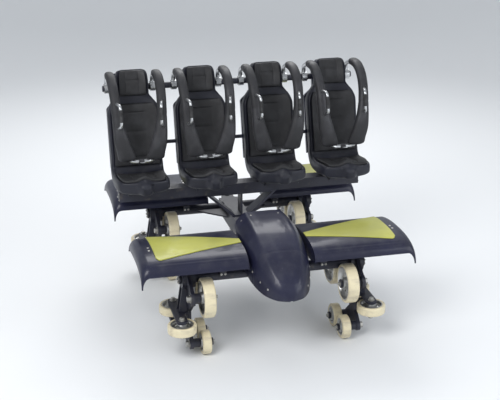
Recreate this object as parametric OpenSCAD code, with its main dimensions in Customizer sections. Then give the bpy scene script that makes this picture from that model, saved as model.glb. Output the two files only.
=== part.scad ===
// Lead car of a floorless roller coaster train: four seats abreast on a raised frame,
// a rear axle, and a nose unit on its own axle that steers and rolls at the hitch.
// X points forward, Y to the left and Z up, in millimetres. The origin lies on the floor,
// in the middle of the car's length and width. The car stands on its up-stop wheels.

/* [Track] */
// Diameter of the rail tube that the wheels run on
rail_d = 168; // [150:1:180]
// Distance between the centres of the two rails
gauge = 1200; // [1180:2:1230]
// Gap between the rail and a guide wheel or an up-stop wheel
rail_gap = 4; // [2:1:8]
// Clear space between the rail and a carrier's side plate
rail_clear = 20; // [15:1:30]

/* [Layout] */
// Distance between the front and the rear axle
wheelbase = 1560; // [1500:10:1700]
// Front axle to the tip of the nose
nose_overhang = 590; // [560:5:640]
// Axle to the trailing edge of a fender
tail_overhang = 368; // [366:2:390]

/* [Wheels] */
// Diameter of a road wheel, which carries the load on top of the rail
road_d = 330; // [310:2:340]
// Width of a road wheel
road_w = 96; // [80:1:104]
// Spacing of a carrier's two road wheels
road_step = 400; // [390:2:420]
// Diameter of a guide wheel, which runs on the outer side of the rail
guide_d = 240; // [220:2:248]
// Width of a guide wheel
guide_w = 76; // [64:1:80]
// Spacing of a carrier's two guide wheels
guide_step = 400; // [390:2:420]
// Diameter of an up-stop wheel, which runs under the rail
upstop_d = 200; // [180:2:220]
// Width of an up-stop wheel
upstop_w = 76; // [64:1:80]
// Spacing of a carrier's two up-stop wheels
upstop_step = 240; // [230:2:260]
// Thickness of the tread on a wheel
tread_t = 26; // [20:1:32]
// Diameter of a road wheel's pin
road_pin_d = 50; // [40:1:56]
// Diameter of a guide or up-stop wheel's pin
small_pin_d = 40; // [34:1:44]
// Radial clearance of a wheel or a carrier on its pin
pin_clear = 0.05; // [0.02:0.01:0.09]
// Gap beside a turning piece
side_gap = 6; // [5:0.5:8]

/* [Carriers] */
// Thickness of a carrier's side plate
plate_t = 30; // [24:1:36]
// Width of the side plate between the guide wheels
waist_w = 124; // [100:2:130]
// Height of the axle above the road wheels' centres
axle_rise = 102; // [98:1:115]
// Diameter of the axle tube
axle_d = 90; // [84:1:96]
// Diameter of the axle's journals, on which the carriers pivot
journal_d = 80; // [70:1:82]
// Length of a carrier's hub on the journal
hub_len = 110; // [90:2:120]

/* [Chassis] */
// Width of the spine
spine_w = 170; // [150:2:190]
// Height of the spine
spine_h = 160; // [140:2:176]
// Wall of the box sections
wall = 10; // [8:1:14]
// Distance from an axle back to the coupling pin behind it
hitch_back = 118; // [110:2:130]
// Diameter of a coupling pin's bore
hitch_bore_d = 50; // [40:1:56]
// Diameter of the swivel's shaft in the spine
swivel_d = 76; // [66:1:84]

/* [Seats] */
// Height of the seat's sitting surface at its rear
seat_z = 1180; // [1160:5:1220]
// Rear axle to the foot of the backrest
seat_dx = 330; // [310:5:350]
// Car's middle to the middle of an inner seat
inner_y = 312; // [306:1:320]
// Distance between an inner and an outer seat
seat_step = 606; // [590:2:620]
// Lean of the backrest, in degrees
recline = 14; // [11:1:16]
// Half width of the backrest at the shoulders
shoulder_w = 236; // [226:1:242]
// Half width of the headrest
head_w = 146; // [136:1:150]
// Length of the backrest above the seat
back_h = 900; // [860:5:930]

/* [Restraints] */
// Height of the restraints' pivot above the seat
pivot_up = 740; // [730:2:760]
// Diameter of the pivot tube behind the seats
pivot_d = 56; // [48:1:60]
// Swing of the restraints at rest, up from fully closed, in degrees
rest_swing = 12; // [0:1:16]
// Half distance between a restraint's two arms
arm_y = 206; // [202:1:212]
// Diameter of a restraint's tube
arm_d = 38; // [32:1:42]
// Half width of a restraint's pad over the chest
pad_w = 42; // [36:1:44]
// Diameter of a grab handle's bar
handle_d = 26; // [22:1:30]
// Gap between a pad and its grab handle
handle_gap = 45; // [38:1:52]

/* [Bodywork] */
// Inner edge of a front fender, from the car's middle
fender_in = 274; // [272:1:300]
// Outer edge of a fender, from the car's middle
fender_out = 1144; // [1120:2:1160]
// Height of a fender's crown above the floor
fender_top = 920; // [910:2:940]
// Rise of the hood's crown above the fenders
hood_rise = 124; // [100:2:140]
// Outer end of a fender's colour band, from the car's middle
band_out = 1004; // [960:2:1040]
// Inner end of a rear fender's colour band, from the car's middle
rear_band_in = 640; // [560:10:800]
// Thickness of the moulded fender and hood walls
skin_t = 12; // [10:1:14]

/* [Hidden] */
$fn = 72;
tube_fn = 32;
bend_full = 0.4;
bend_lap = 2;
SIDES = ["left", "right"];

car_length = wheelbase + nose_overhang + tail_overhang;
x_front = car_length / 2 - nose_overhang;
x_rear = -car_length / 2 + tail_overhang;
rail_y = gauge / 2;
rail_z = upstop_d + rail_gap + rail_d / 2;
road_z = rail_z + rail_d / 2 + road_d / 2;
axle_z = road_z + axle_rise;
guide_y = rail_y + rail_d / 2 + rail_gap + guide_d / 2;
plate_y = rail_y + rail_d / 2 + rail_clear;
hub_half = 4;
cap_t = 14;
seat_ys = [inner_y + seat_step, inner_y, -inner_y, -inner_y - seat_step];
navy = [0.09, 0.09, 0.22];
lime = [0.66, 0.74, 0.20];
black = [0.07, 0.07, 0.08];
steel = [0.62, 0.63, 0.65];
tread = [0.86, 0.82, 0.70];

// Small vector helpers
function unit(v) = v / norm(v);
function mean(ps) = [for (k = [0 : 2]) [for (p = ps) p[k]] * [for (p = ps) 1] / len(ps)];
function signed_power(v, p) = sign(v) * pow(abs(v), p);

// A closed solid through rings of points, each ring with as many points as the first
module skin(rings) {
    n = len(rings[0]);
    m = len(rings);
    middle = mean(rings[0]);
    turn = [for (j = [0 : n - 1]) cross(rings[0][j] - middle, rings[0][(j + 1) % n] - middle)];
    ahead = mean(turn) * (mean(rings[1]) - middle) > 0;
    side = [for (i = [0 : m - 2], j = [0 : n - 1])
        let (a = i * n + j, b = i * n + (j + 1) % n, c = a + n, d = b + n)
        each [[a, d, b], [a, c, d]]];
    ends = [for (j = [0 : n - 1])
        each [[m * n, j, (j + 1) % n], [m * n + 1, (m - 1) * n + (j + 1) % n, (m - 1) * n + j]]];
    faces = concat(side, ends);
    polyhedron(
        points = concat([for (r = rings) each r], [middle, mean(rings[m - 1])]),
        faces = ahead ? faces : [for (f = faces) [f[0], f[2], f[1]]]);
}

// A thin moulded wall between two grids of points of the same size
module panel(outer, inner) {
    m = len(outer);
    n = len(outer[0]);
    k = m * n;
    i0 = floor(m / 2);
    j0 = floor(n / 2);
    out = cross(outer[i0][j0] - outer[i0 - 1][j0], outer[i0][j0] - outer[i0][j0 - 1]);
    flip = out * (outer[i0][j0] - inner[i0][j0]) > 0;
    sheet = [for (i = [0 : m - 2], j = [0 : n - 2])
        let (a = i * n + j, b = a + 1, c = a + n, d = c + 1)
        each [[a, c, d], [a, d, b], [k + a, k + d, k + c], [k + a, k + b, k + d]]];
    rim_i = [for (i = [0 : m - 2]) let (a = i * n, c = a + n, b = a + n - 1, d = b + n)
        each [[a, k + a, k + c], [a, k + c, c], [b, k + d, k + b], [b, d, k + d]]];
    rim_j = [for (j = [0 : n - 2]) let (a = j, b = j + 1, c = (m - 1) * n + j, d = c + 1)
        each [[a, k + b, k + a], [a, b, k + b], [c, k + c, k + d], [c, k + d, d]]];
    faces = concat(sheet, rim_i, rim_j);
    polyhedron(
        points = concat([for (r = outer) each r], [for (r = inner) each r]),
        faces = flip ? [for (f = faces) [f[0], f[2], f[1]]] : faces);
}

// A round bar between two points
module rod(from, to, r) {
    d = unit(to - from);
    side = abs(d.z) > 0.9 ? [1, 0, 0] : [0, 0, 1];
    x = unit(cross(side, d));
    y = cross(d, x);
    multmatrix([[x.x, y.x, d.x, from.x], [x.y, y.y, d.y, from.y], [x.z, y.z, d.z, from.z], [0, 0, 0, 1]])
        cylinder(h = norm(to - from), r = r, $fn = tube_fn);
}

// A tube through a list of points, bent at each with one radius and a little fuller in the bends
module bent_tube(path, r, bend) {
    n = len(path);
    function ahead(i) = unit(path[i + 1] - path[i]);
    function turn(i) = acos(ahead(i - 1) * ahead(i));
    cut = [for (i = [0 : n - 1]) i == 0 || i == n - 1 ? 0 : bend * tan(turn(i) / 2)];
    for (i = [0 : n - 2])
        rod(path[i] + ahead(i) * (i == 0 ? 0 : cut[i] - bend_lap),
            path[i + 1] - ahead(i) * (i == n - 2 ? 0 : cut[i + 1] - bend_lap), r);
    for (i = [1 : n - 2]) {
        d = ahead(i - 1);
        toward = unit(ahead(i) - (ahead(i) * d) * d);
        axis = cross(-toward, d);
        centre = path[i] - d * cut[i] + toward * bend;
        multmatrix([
            [-toward.x, d.x, axis.x, centre.x],
            [-toward.y, d.y, axis.y, centre.y],
            [-toward.z, d.z, axis.z, centre.z],
            [0, 0, 0, 1]])
            rotate_extrude(angle = turn(i), $fn = tube_fn) translate([bend, 0]) circle(r = r + bend_full);
    }
}

// A box section tube along X, open at both ends, centred on Y and Z
module box_tube(length, width, height, t) {
    difference() {
        translate([0, -width / 2, -height / 2]) cube([length, width, height]);
        translate([-1, -width / 2 + t, -height / 2 + t]) cube([length + 2, width - 2 * t, height - 2 * t]);
    }
}

// A wheel about Y: a disc hub with recessed faces and a crowned tread
module wheel(d, w, pin_d) {
    r = d / 2;
    rim = r - tread_t;
    hub = pin_d / 2 + 24;
    web = w * 0.16;
    soft = w * 0.14;
    rotate([90, 0, 0]) rotate_extrude() polygon([
        [pin_d / 2 + pin_clear, -w / 2 - hub_half], [hub, -w / 2 - hub_half], [hub + 6, -web],
        [rim - 16, -web], [rim - 8, -w / 2], [r - soft * 0.6, -w / 2], [r, -w / 2 + soft],
        [r, w / 2 - soft], [r - soft * 0.6, w / 2], [rim - 8, w / 2], [rim - 16, web],
        [hub + 6, web], [hub, w / 2 + hub_half], [pin_d / 2 + pin_clear, w / 2 + hub_half]]);
}

// A wheel pin along Y, from the side plate inwards, with a boss and an end cap
module plate_pin(w, pin_d) {
    face = w / 2 + hub_half;
    outer = plate_y - rail_y;
    rotate([90, 0, 0]) {
        translate([0, 0, -outer - 1]) cylinder(h = outer + face + side_gap + cap_t, d = pin_d);
        translate([0, 0, -outer - 1]) cylinder(h = outer + 1 - face - side_gap, d = pin_d + 36);
        translate([0, 0, face + side_gap]) cylinder(h = cap_t, d = pin_d + 22);
    }
}

// The carrier of the left side, about its axle at the origin: a side plate outside the rail,
// which holds two road wheels, two guide wheels and two up-stop wheels
module carrier_body() {
    road = [road_step / 2, road_z - axle_z];
    up = [upstop_step / 2, upstop_d / 2 - axle_z];
    gz = rail_z - axle_z;
    shelf_t = 20;
    shelf_rise = guide_w / 2 + hub_half + side_gap;
    shelf_r = 46;
    lip_t = 18;
    lip_h = 40;
    gusset_t = 16;
    lobe = 60;
    foot = 46;
    hub_r = journal_d / 2 + 42;
    hub_y = plate_y + plate_t / 2 - hub_len / 2;
    difference() {
        union() {
            translate([0, plate_y + plate_t, 0]) rotate([90, 0, 0]) linear_extrude(plate_t) {
                circle(r = hub_r);
                for (s = [-1, 1]) {
                    translate([s * road.x, road.y]) circle(r = lobe);
                    translate([s * up.x, up.y]) circle(r = foot);
                }
                polygon([
                    [-road.x, road.y + lobe], [-hub_r * 0.6, hub_r * 0.8], [hub_r * 0.6, hub_r * 0.8],
                    [road.x, road.y + lobe], [road.x, road.y - lobe], [waist_w / 2, gz + guide_w],
                    [waist_w / 2, gz - guide_w], [up.x + foot * 0.6, up.y + foot * 0.8],
                    [up.x, up.y - foot], [-up.x, up.y - foot], [-up.x - foot * 0.6, up.y + foot * 0.8],
                    [-waist_w / 2, gz - guide_w], [-waist_w / 2, gz + guide_w], [-road.x, road.y - lobe]]);
            }
            translate([0, hub_y + hub_len, 0]) rotate([90, 0, 0]) cylinder(h = hub_len, r = hub_r);
            for (s = [-1, 1]) {
                translate([s * road.x, rail_y, road.y]) plate_pin(road_w, road_pin_d);
                translate([s * up.x, rail_y, up.y]) plate_pin(upstop_w, small_pin_d);
                translate([s * guide_step / 2, guide_y, gz])
                    cylinder(h = 2 * (shelf_rise + shelf_t), d = small_pin_d, center = true);
            }
            for (s = [-1, 1])
                translate([0, 0, gz + s * (shelf_rise + shelf_t / 2) - shelf_t / 2])
                    linear_extrude(shelf_t) {
                        for (e = [-1, 1]) translate([e * guide_step / 2, guide_y]) circle(r = shelf_r);
                        translate([-guide_step / 2, guide_y - shelf_r]) square([guide_step, 2 * shelf_r]);
                        translate([-waist_w / 2, plate_y + 1]) square([waist_w, guide_y - plate_y]);
                    }
            // Gussets between the hub and the upper shelf, and a lip under the lower shelf
            for (s = [-1, 1])
                translate([s * waist_w / 3 - gusset_t / 2, plate_y + plate_t - 1, 0]) rotate([90, 0, 90])
                    linear_extrude(gusset_t) polygon([
                        [0, -hub_r * 0.9], [hub_len / 2 - plate_t / 2, -hub_r * 0.8],
                        [guide_y - plate_y - plate_t, gz + shelf_rise + shelf_t - 2],
                        [0, gz + shelf_rise + shelf_t - 2]]);
            translate([-waist_w / 4, plate_y + plate_t - 1, gz - shelf_rise - shelf_t - lip_h])
                cube([waist_w / 2, lip_t, lip_h + 2]);
        }
        translate([0, hub_y + hub_len + 1, 0]) rotate([90, 0, 0])
            cylinder(h = hub_len + 2, r = journal_d / 2 + pin_clear);
    }
}

// Gap between a bored piece and the tube that it is clamped on
seat_clear = 0.3;

// A whole transverse axle about the origin: tube, journals and end caps
module axle_shaft() {
    hub_y = plate_y + plate_t / 2 - hub_len / 2;
    end = hub_y + hub_len + side_gap;
    rotate([90, 0, 0]) {
        cylinder(h = 2 * (hub_y - side_gap), d = axle_d, center = true);
        cylinder(h = 2 * end, d = journal_d, center = true);
        for (s = [-1, 1]) translate([0, 0, s * (end + cap_t / 2)])
            cylinder(h = cap_t, d = journal_d + 16, center = true);
    }
}

// The clevis behind an axle that takes a coupling head between its plates
clevis_gap = 92;
clevis_t = 24;
clevis_w = 110;
clevis_h = clevis_gap + 2 * clevis_t;
rib_t = 12;
module clevis() {
    difference() {
        for (s = [-1, 1]) translate([0, 0, s * (clevis_gap + clevis_t) / 2 - clevis_t / 2])
            linear_extrude(clevis_t) {
                translate([-hitch_back, 0]) circle(d = clevis_w);
                translate([-hitch_back, -clevis_w / 2]) square([hitch_back - axle_d / 4, clevis_w]);
            }
        translate([-hitch_back, 0, 0]) cylinder(h = 2 * clevis_h, d = hitch_bore_d, center = true);
    }
}

// The block in the middle of an axle, with the clevis on its back
block_w = 190;
block_r = axle_d / 2 + 12;
module axle_block() {
    translate([-block_r, -block_w / 2, -clevis_h / 2]) cube([2 * block_r, block_w, clevis_h]);
    for (s = [-1, 1]) translate([-hitch_back * 0.55, s * (clevis_w + rib_t) / 2 - rib_t / 2, -clevis_h / 2])
        cube([hitch_back * 0.5, rib_t, clevis_h]);
    clevis();
}

// Rear axle of the seat car, and the block on it with the clevis for the next car
module rear_axle() color(navy) translate([x_rear, 0, axle_z]) axle_shaft();
module rear_clevis() color(navy) translate([x_rear, 0, axle_z]) difference() {
    axle_block();
    rotate([90, 0, 0]) cylinder(h = 2 * block_w, d = axle_d + 2 * seat_clear, center = true);
}

// Saddles, posts and outriggers on an axle that hold its two fenders
arm_in = 430;
arm_w = 60;
arm_t = 30;
saddle_w = 56;
module fender_arms(x_axle) color(navy) translate([x_axle, 0, axle_z]) {
    top = fender_seat - axle_z;
    post = 40;
    brace = 170;
    for (s = [-1, 1]) scale([1, s, 1]) difference() {
        union() {
            translate([-block_r, arm_in - saddle_w / 2, 0]) cube([2 * block_r, saddle_w, block_r]);
            translate([-post / 2, arm_in - post / 2, 0]) cube([post, post, top - arm_t / 3]);
            translate([-arm_w / 2, arm_in - post, top - arm_t])
                cube([arm_w, fender_out - edge_r - arm_in - 4, arm_t]);
            translate([-rib_t / 2, 0, 0]) rotate([90, 0, 90]) linear_extrude(rib_t) polygon([
                [arm_in, block_r / 2], [arm_in, top - arm_t / 3], [arm_in + brace, top - arm_t / 3],
                [arm_in + brace - 20, top - arm_t * 1.3]]);
        }
        translate([0, arm_in, 0]) rotate([90, 0, 0])
            cylinder(h = 4 * saddle_w, d = axle_d + 2 * seat_clear, center = true);
    }
}

// Spine of the seat car: a box tube from the rear axle to the bearing of the swivel
pitch_back = 100;
bearing_l = 150;
fork_back = 90;
spine_front = x_front - hitch_back - pitch_back - fork_back;
module chassis_spine() color(navy) {
    start = x_rear + block_r;
    stop = spine_front - bearing_l;
    flange_t = 16;
    gusset_t = 14;
    gusset_l = 230;
    gusset_y = 330;
    gusset_x = x_rear + axle_d / 2 + seat_clear;
    translate([0, 0, axle_z]) {
        translate([start, 0, 0]) box_tube(stop - start, spine_w, spine_h, wall);
        // Bearing housing of the roll swivel, with its flange plate and ribs
        difference() {
            union() {
                translate([stop, 0, 0]) rotate([0, 90, 0]) cylinder(h = bearing_l, d = swivel_d + 50);
                translate([stop - flange_t + 2, -spine_w / 2, -spine_h / 2]) cube([flange_t, spine_w, spine_h]);
                for (a = [0 : 90 : 270]) rotate([a, 0, 0])
                    translate([stop, -rib_t / 2, 0]) cube([bearing_l * 0.6, rib_t, spine_h / 2]);
            }
            translate([stop - flange_t - 4, 0, 0]) rotate([0, 90, 0])
                cylinder(h = bearing_l + 2 * flange_t, d = swivel_d + 2 * pin_clear);
        }
        // Side gussets where the axle tube meets the spine
        for (s = [-1, 1]) translate([0, 0, -gusset_t / 2]) linear_extrude(gusset_t) polygon([
            [start, s * (spine_w / 2 - wall / 2)], [start + gusset_l, s * (spine_w / 2 - wall / 2)],
            [gusset_x + 16, s * gusset_y], [gusset_x, s * gusset_y], [gusset_x, s * (block_w / 2 + 1)],
            [start, s * (block_w / 2 + 1)]]);
    }
}

// Swivel of the hitch: a shaft that rolls in the spine and a fork with the pitch pin
fork_r = 34;
tongue_w = 42;
cheek_t = 20;
pitch_pin_d = 32;
swivel_flange_t = 22;
crown_t = 28;
pin_head_t = 12;
x_pitch = x_front - hitch_back - pitch_back;
module hitch_swivel() color(steel) translate([x_pitch, 0, axle_z]) {
    flange_x = spine_front - x_pitch + side_gap;
    inner = tongue_w / 2 + side_gap;
    width = 2 * (inner + cheek_t);
    translate([flange_x - side_gap - bearing_l + 2, 0, 0]) rotate([0, 90, 0])
        cylinder(h = bearing_l + side_gap, d = swivel_d);
    translate([flange_x, 0, 0]) rotate([0, 90, 0]) cylinder(h = swivel_flange_t, d = swivel_d + 44);
    translate([flange_x + swivel_flange_t - 2, -width / 2, -fork_r]) cube([crown_t, width, 2 * fork_r]);
    for (s = [-1, 1]) translate([0, s * (inner + cheek_t / 2) + cheek_t / 2, 0]) rotate([90, 0, 0])
        linear_extrude(cheek_t) {
            circle(r = fork_r);
            translate([flange_x + crown_t, -fork_r]) square([-flange_x - crown_t, 2 * fork_r]);
        }
    rotate([90, 0, 0]) cylinder(h = width + 2, d = pitch_pin_d, center = true);
    for (s = [-1, 1]) translate([0, s * (width + pin_head_t) / 2, 0]) rotate([90, 0, 0])
        cylinder(h = pin_head_t, d = pitch_pin_d + 16, center = true);
}

// Yoke of the hitch: a tongue on the pitch pin and a barrel with the upright coupling pin
module hitch_yoke() color(steel) translate([x_pitch, 0, axle_z]) {
    head_h = clevis_gap - 2 * side_gap;
    barrel_d = 92;
    nut_t = 16;
    difference() {
        translate([0, tongue_w / 2, 0]) rotate([90, 0, 0]) linear_extrude(tongue_w) {
            circle(r = fork_r - 4);
            polygon([[0, fork_r - 4], [pitch_back, head_h / 2], [pitch_back, -head_h / 2], [0, -fork_r + 4]]);
        }
        rotate([90, 0, 0]) cylinder(h = tongue_w + 2, d = pitch_pin_d + 2 * pin_clear, center = true);
    }
    translate([pitch_back, 0, 0]) {
        cylinder(h = head_h, d = barrel_d, center = true);
        cylinder(h = clevis_gap + 2 * clevis_t + 3 * side_gap, d = hitch_bore_d - 2 * pin_clear, center = true);
        for (s = [-1, 1]) translate([0, 0, s * (clevis_gap / 2 + clevis_t + side_gap + nut_t / 2)])
            cylinder(h = nut_t, d = hitch_bore_d + 22, center = true);
    }
}

// Frame of the nose unit: the front axle, its clevis and the two rails that hold the hood
hood_rail_y = 132;
hood_rail_w = 50;
hood_rail_h = 70;
module front_axle() color(navy) translate([x_front, 0, axle_z]) {
    rail_end = hood_row(3)[0] + hood_rail_w;
    rear_x = hood_row(1)[0];
    rear_seat = hood_row(1)[2] - axle_z;
    bar = 24;
    axle_shaft();
    axle_block();
    for (s = [-1, 1]) translate([0, s * hood_rail_y, 0]) {
        box_tube(rail_end, hood_rail_w, hood_rail_h, wall * 0.6);
        translate([-bar, -hood_rail_w / 2, 0]) cube([bar + 2, hood_rail_w, rear_seat]);
        translate([rear_x - 4, -hood_rail_w / 2, rear_seat - bar]) cube([-rear_x, hood_rail_w, bar]);
    }
    translate([rail_end - 2 * bar, -hood_rail_y, -bar / 2]) cube([2 * bar, 2 * hood_rail_y, bar]);
    translate([-bar, -hood_rail_y, rear_seat - bar]) cube([bar, 2 * hood_rail_y, bar]);
}

// Seat frame: a flared pylon on the spine, a beam under the seats, uprights behind them
// and the pivot tube that carries the restraints
beam_z = seat_z - 236;
beam_h = 90;
beam_w = 130;
beam_x = seat_dx + 90;
seat_depth = 112;
pivot_back = seat_depth + pivot_d / 2 + 12;
function back_point(up, off) = [
    seat_dx - up * sin(recline) - off * cos(recline),
    seat_z + up * cos(recline) - off * sin(recline)];
pivot = back_point(pivot_up, pivot_back);
post_y = head_w - 42;
post_r = 19;
post_foot = 170;
post_over = 34;
post_bend = 60;
tube_over = 40;
cross_up = 230;
cross_d = 34;
bearer_top = beam_z + beam_h + 25;
bearer_l = 384;
bearer_w = 44;
foot_h = 60;
module upright(y) bent_tube([
    [beam_x - post_foot, y, beam_z + beam_h + 12],
    let (p = back_point(foot_h, pivot_back)) [p[0], y, p[1]],
    let (p = back_point(pivot_up + post_over, pivot_back)) [p[0], y, p[1]]], post_r, post_bend);
module seat_frame() color(black) translate([x_rear, 0, 0]) {
    reach = seat_ys[0] + shoulder_w - 46;
    base = axle_z + spine_h / 2;
    foot_y = spine_w / 2;
    head_y = inner_y + 18;
    web = 14;
    side = 22;
    // Pylon: a flared box with an upright web in its middle
    translate([beam_x - beam_w / 2, 0, 0]) rotate([90, 0, 90]) linear_extrude(beam_w) {
        difference() {
            polygon([[-foot_y, base], [foot_y, base], [head_y, beam_z + 1], [-head_y, beam_z + 1]]);
            polygon([[-foot_y + side, base + web], [foot_y - side, base + web],
                [head_y - 2 * side, beam_z - web], [-head_y + 2 * side, beam_z - web]]);
        }
        translate([-web / 2, base + 1]) square([web, beam_z - base]);
    }
    // Beam under the seats
    translate([beam_x, reach, beam_z + beam_h / 2]) rotate([0, 0, -90])
        box_tube(2 * reach, beam_w, beam_h, wall);
    for (y = seat_ys, s = [-1, 1]) {
        // Seat bearers and uprights
        translate([beam_x - bearer_l / 2, y + s * post_y - bearer_w / 2, beam_z + beam_h - 1])
            cube([bearer_l, bearer_w, bearer_top - beam_z - beam_h + 1]);
        upright(y + s * post_y);
    }
    // Pivot tube, and a cross tube behind the small of the back
    translate([pivot[0], 0, pivot[1]]) rotate([90, 0, 0])
        cylinder(h = 2 * (seat_ys[0] + arm_y + tube_over), d = pivot_d, center = true);
    translate([back_point(cross_up, pivot_back)[0], 0, back_point(cross_up, pivot_back)[1]]) rotate([90, 0, 0])
        cylinder(h = 2 * (seat_ys[0] + post_y + tube_over / 2), d = cross_d, center = true);
}

// One ring of the seat moulding, at a point of the sitting surface in the XZ plane.
// face is the direction of the surface, in degrees up from forward; s is
// [half width, thickness, bolster height, saddle height]
ring_n = 20;
function seat_ring(x, z, face, s) = [for (i = [0 : ring_n - 1])
    let (
        c = signed_power(cos(360 * i / ring_n), 0.62),
        t = signed_power(sin(360 * i / ring_n), 0.5),
        y = s[0] * c,
        off = s[1] * (t - 1) / 2 + max(t, 0) * (s[2] * pow(abs(c), 3) + s[3] * exp(-pow(y / 52, 2))))
    [x + off * cos(face), y, z + off * sin(face)]];

// Moulded seat: saddle, pan, corner and backrest in one loft, from front to top
corner_r = 75;
// Columns: x, z, half width, thickness, bolster, saddle
PAN = [
    [505, 2, 30, 50, 0, 0],
    [492, 28, 46, 100, 0, 4],
    [455, 40, 72, 116, 0, 12],
    [428, 40, 150, 118, 4, 24],
    [392, 38, 214, 122, 16, 34],
    [320, 30, 232, 122, 32, 36],
    [230, 14, 236, 118, 38, 16],
    [140, 2, 236, 112, 40, 0]];
// Columns: share of the backrest's length, half width as a size, thickness, bolster
BACK = [
    [0.14, shoulder_w - 6, seat_depth, 52],
    [0.36, shoulder_w - 2, seat_depth, 62],
    [0.56, shoulder_w, seat_depth, 66],
    [0.655, shoulder_w - 24, seat_depth, 52],
    [0.715, (shoulder_w + head_w) / 2 - 18, seat_depth, 34],
    [0.765, head_w, seat_depth, 56],
    [0.86, head_w, seat_depth, 78],
    [0.95, head_w - 6, seat_depth - 6, 60],
    [0.99, head_w - 26, seat_depth - 24, 20],
    [1, head_w - 60, seat_depth - 60, 0]];
module seat(y) color(black) translate([x_rear + seat_dx, y, seat_z]) {
    // Moulded feet that stand on the bearers
    foot_w = bearer_w - 4;
    foot_l = bearer_l - 124;
    for (s = [-1, 1]) translate([beam_x - seat_dx - 100, s * post_y - foot_w / 2, bearer_top - seat_z])
        cube([foot_l, foot_w, foot_h]);
    foot = [corner_r * (1 - cos(recline)), corner_r * (1 - sin(recline))];
    skin(concat(
        [for (p = PAN) seat_ring(p[0], p[1], 90, [p[2], p[3], p[4], p[5]])],
        [for (f = [90 : -(90 - recline) / 4 : recline - 0.1]) seat_ring(
            corner_r * (1 - cos(f)), corner_r * (1 - sin(f)), f, [shoulder_w - 2, seat_depth, 44, 0])],
        [for (b = BACK) let (up = b[0] * back_h - foot[1]) seat_ring(
            foot[0] - up * sin(recline), foot[1] + up * cos(recline), recline, [b[1], b[2], b[3], 0])]));
}

// Moulded cover behind each backrest, held on the uprights by two ribs
cover_t = 8;
cover_deep = 96;
cover_rib_w = 292;
COVER_RIBS = [150, 500];
module seat_backs() {
    rows = 10;
    cols = 14;
    function half(u) = shoulder_w - 10 - (shoulder_w - head_w - 2) * min(1, max(0, u - 0.62) / 0.12);
    function cover(t) = [for (i = [0 : rows]) let (u = i / rows, up = 30 + u * (back_h - 60)) [
        for (j = [0 : cols]) let (
            a = -90 + 180 * j / cols,
            c = signed_power(sin(a), 0.7),
            q = signed_power(cos(a), 0.55),
            p = back_point(up, seat_depth + 6 + (cover_deep + 16 * sin(180 * u) - t) * q))
        [p[0], c * (half(u) - t), p[1]]]];
    color(navy) for (y = seat_ys) translate([x_rear, y, 0]) {
        difference() {
            panel(cover(0), cover(cover_t));
            for (tube = [[pivot_up, pivot_d], [cross_up, cross_d]])
                let (p = back_point(tube[0], pivot_back)) translate([p[0], 0, p[1]]) rotate([90, 0, 0])
                    cylinder(h = 2 * shoulder_w, d = tube[1] + 2 * side_gap, center = true, $fn = tube_fn);
        }
        for (up = COVER_RIBS) let (p = back_point(up, 0)) translate([p[0], 0, p[1]]) rotate([0, -recline, 0])
            translate([0, 0, -cover_t / 2]) linear_extrude(cover_t) difference() {
                translate([-seat_depth - cover_deep - 3, -cover_rib_w / 2])
                    square([cover_deep - 10, cover_rib_w]);
                for (s = [-1, 1]) translate([-pivot_back, s * post_y]) circle(r = post_r + seat_clear);
            }
    }
}

// Restraint: two arms from hubs on the pivot tube, joined in front of the lap.
// Columns of ARM: x and z from the pivot
ARM = [[0, 0], [-8, 96], [150, 128], [372, 96], [506, -96], [514, -430], [450, -628]];
arm_bend = 62;
hub_w = 44;
lap_y = 96;
function on_arm(i, y) = [ARM[i][0], y, ARM[i][1]];
module arms(r) bent_tube(concat(
    [for (i = [0 : 5]) on_arm(i, arm_y)], [on_arm(6, lap_y), on_arm(6, -lap_y)],
    [for (i = [5 : -1 : 0]) on_arm(i, -arm_y)]), r, arm_bend);

// Grab handles in front of the chest. Columns of HANDLE: x from the pivot, shift inwards from
// the arm, z. The outer points stand clear of the pad's front by the handle's gap
grip_x = 554 + handle_gap + handle_d / 2;
HANDLE = [[500, 4, -106], [grip_x, 30, -130], [grip_x + 6, 34, -304], [505, 4, -334]];
handle_bend = 34;
module handles(r) for (s = [-1, 1])
    bent_tube([for (h = HANDLE) [h[0], s * (arm_y - h[1]), h[2]]], r, handle_bend);
module at_pivot(y) translate([x_rear + pivot[0], y, pivot[1]]) rotate([0, -rest_swing, 0]) children();
module restraint(y) color(steel) at_pivot(y) {
    difference() {
        union() {
            for (s = [-1, 1]) translate([0, s * arm_y, 0]) rotate([90, 0, 0])
                cylinder(h = hub_w, d = pivot_d + 34, center = true);
            arms(arm_d / 2);
        }
        rotate([90, 0, 0]) cylinder(h = 2 * arm_y + hub_w + 2, d = pivot_d + 2 * pin_clear, center = true);
    }
    handles(handle_d / 2);
}

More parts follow.
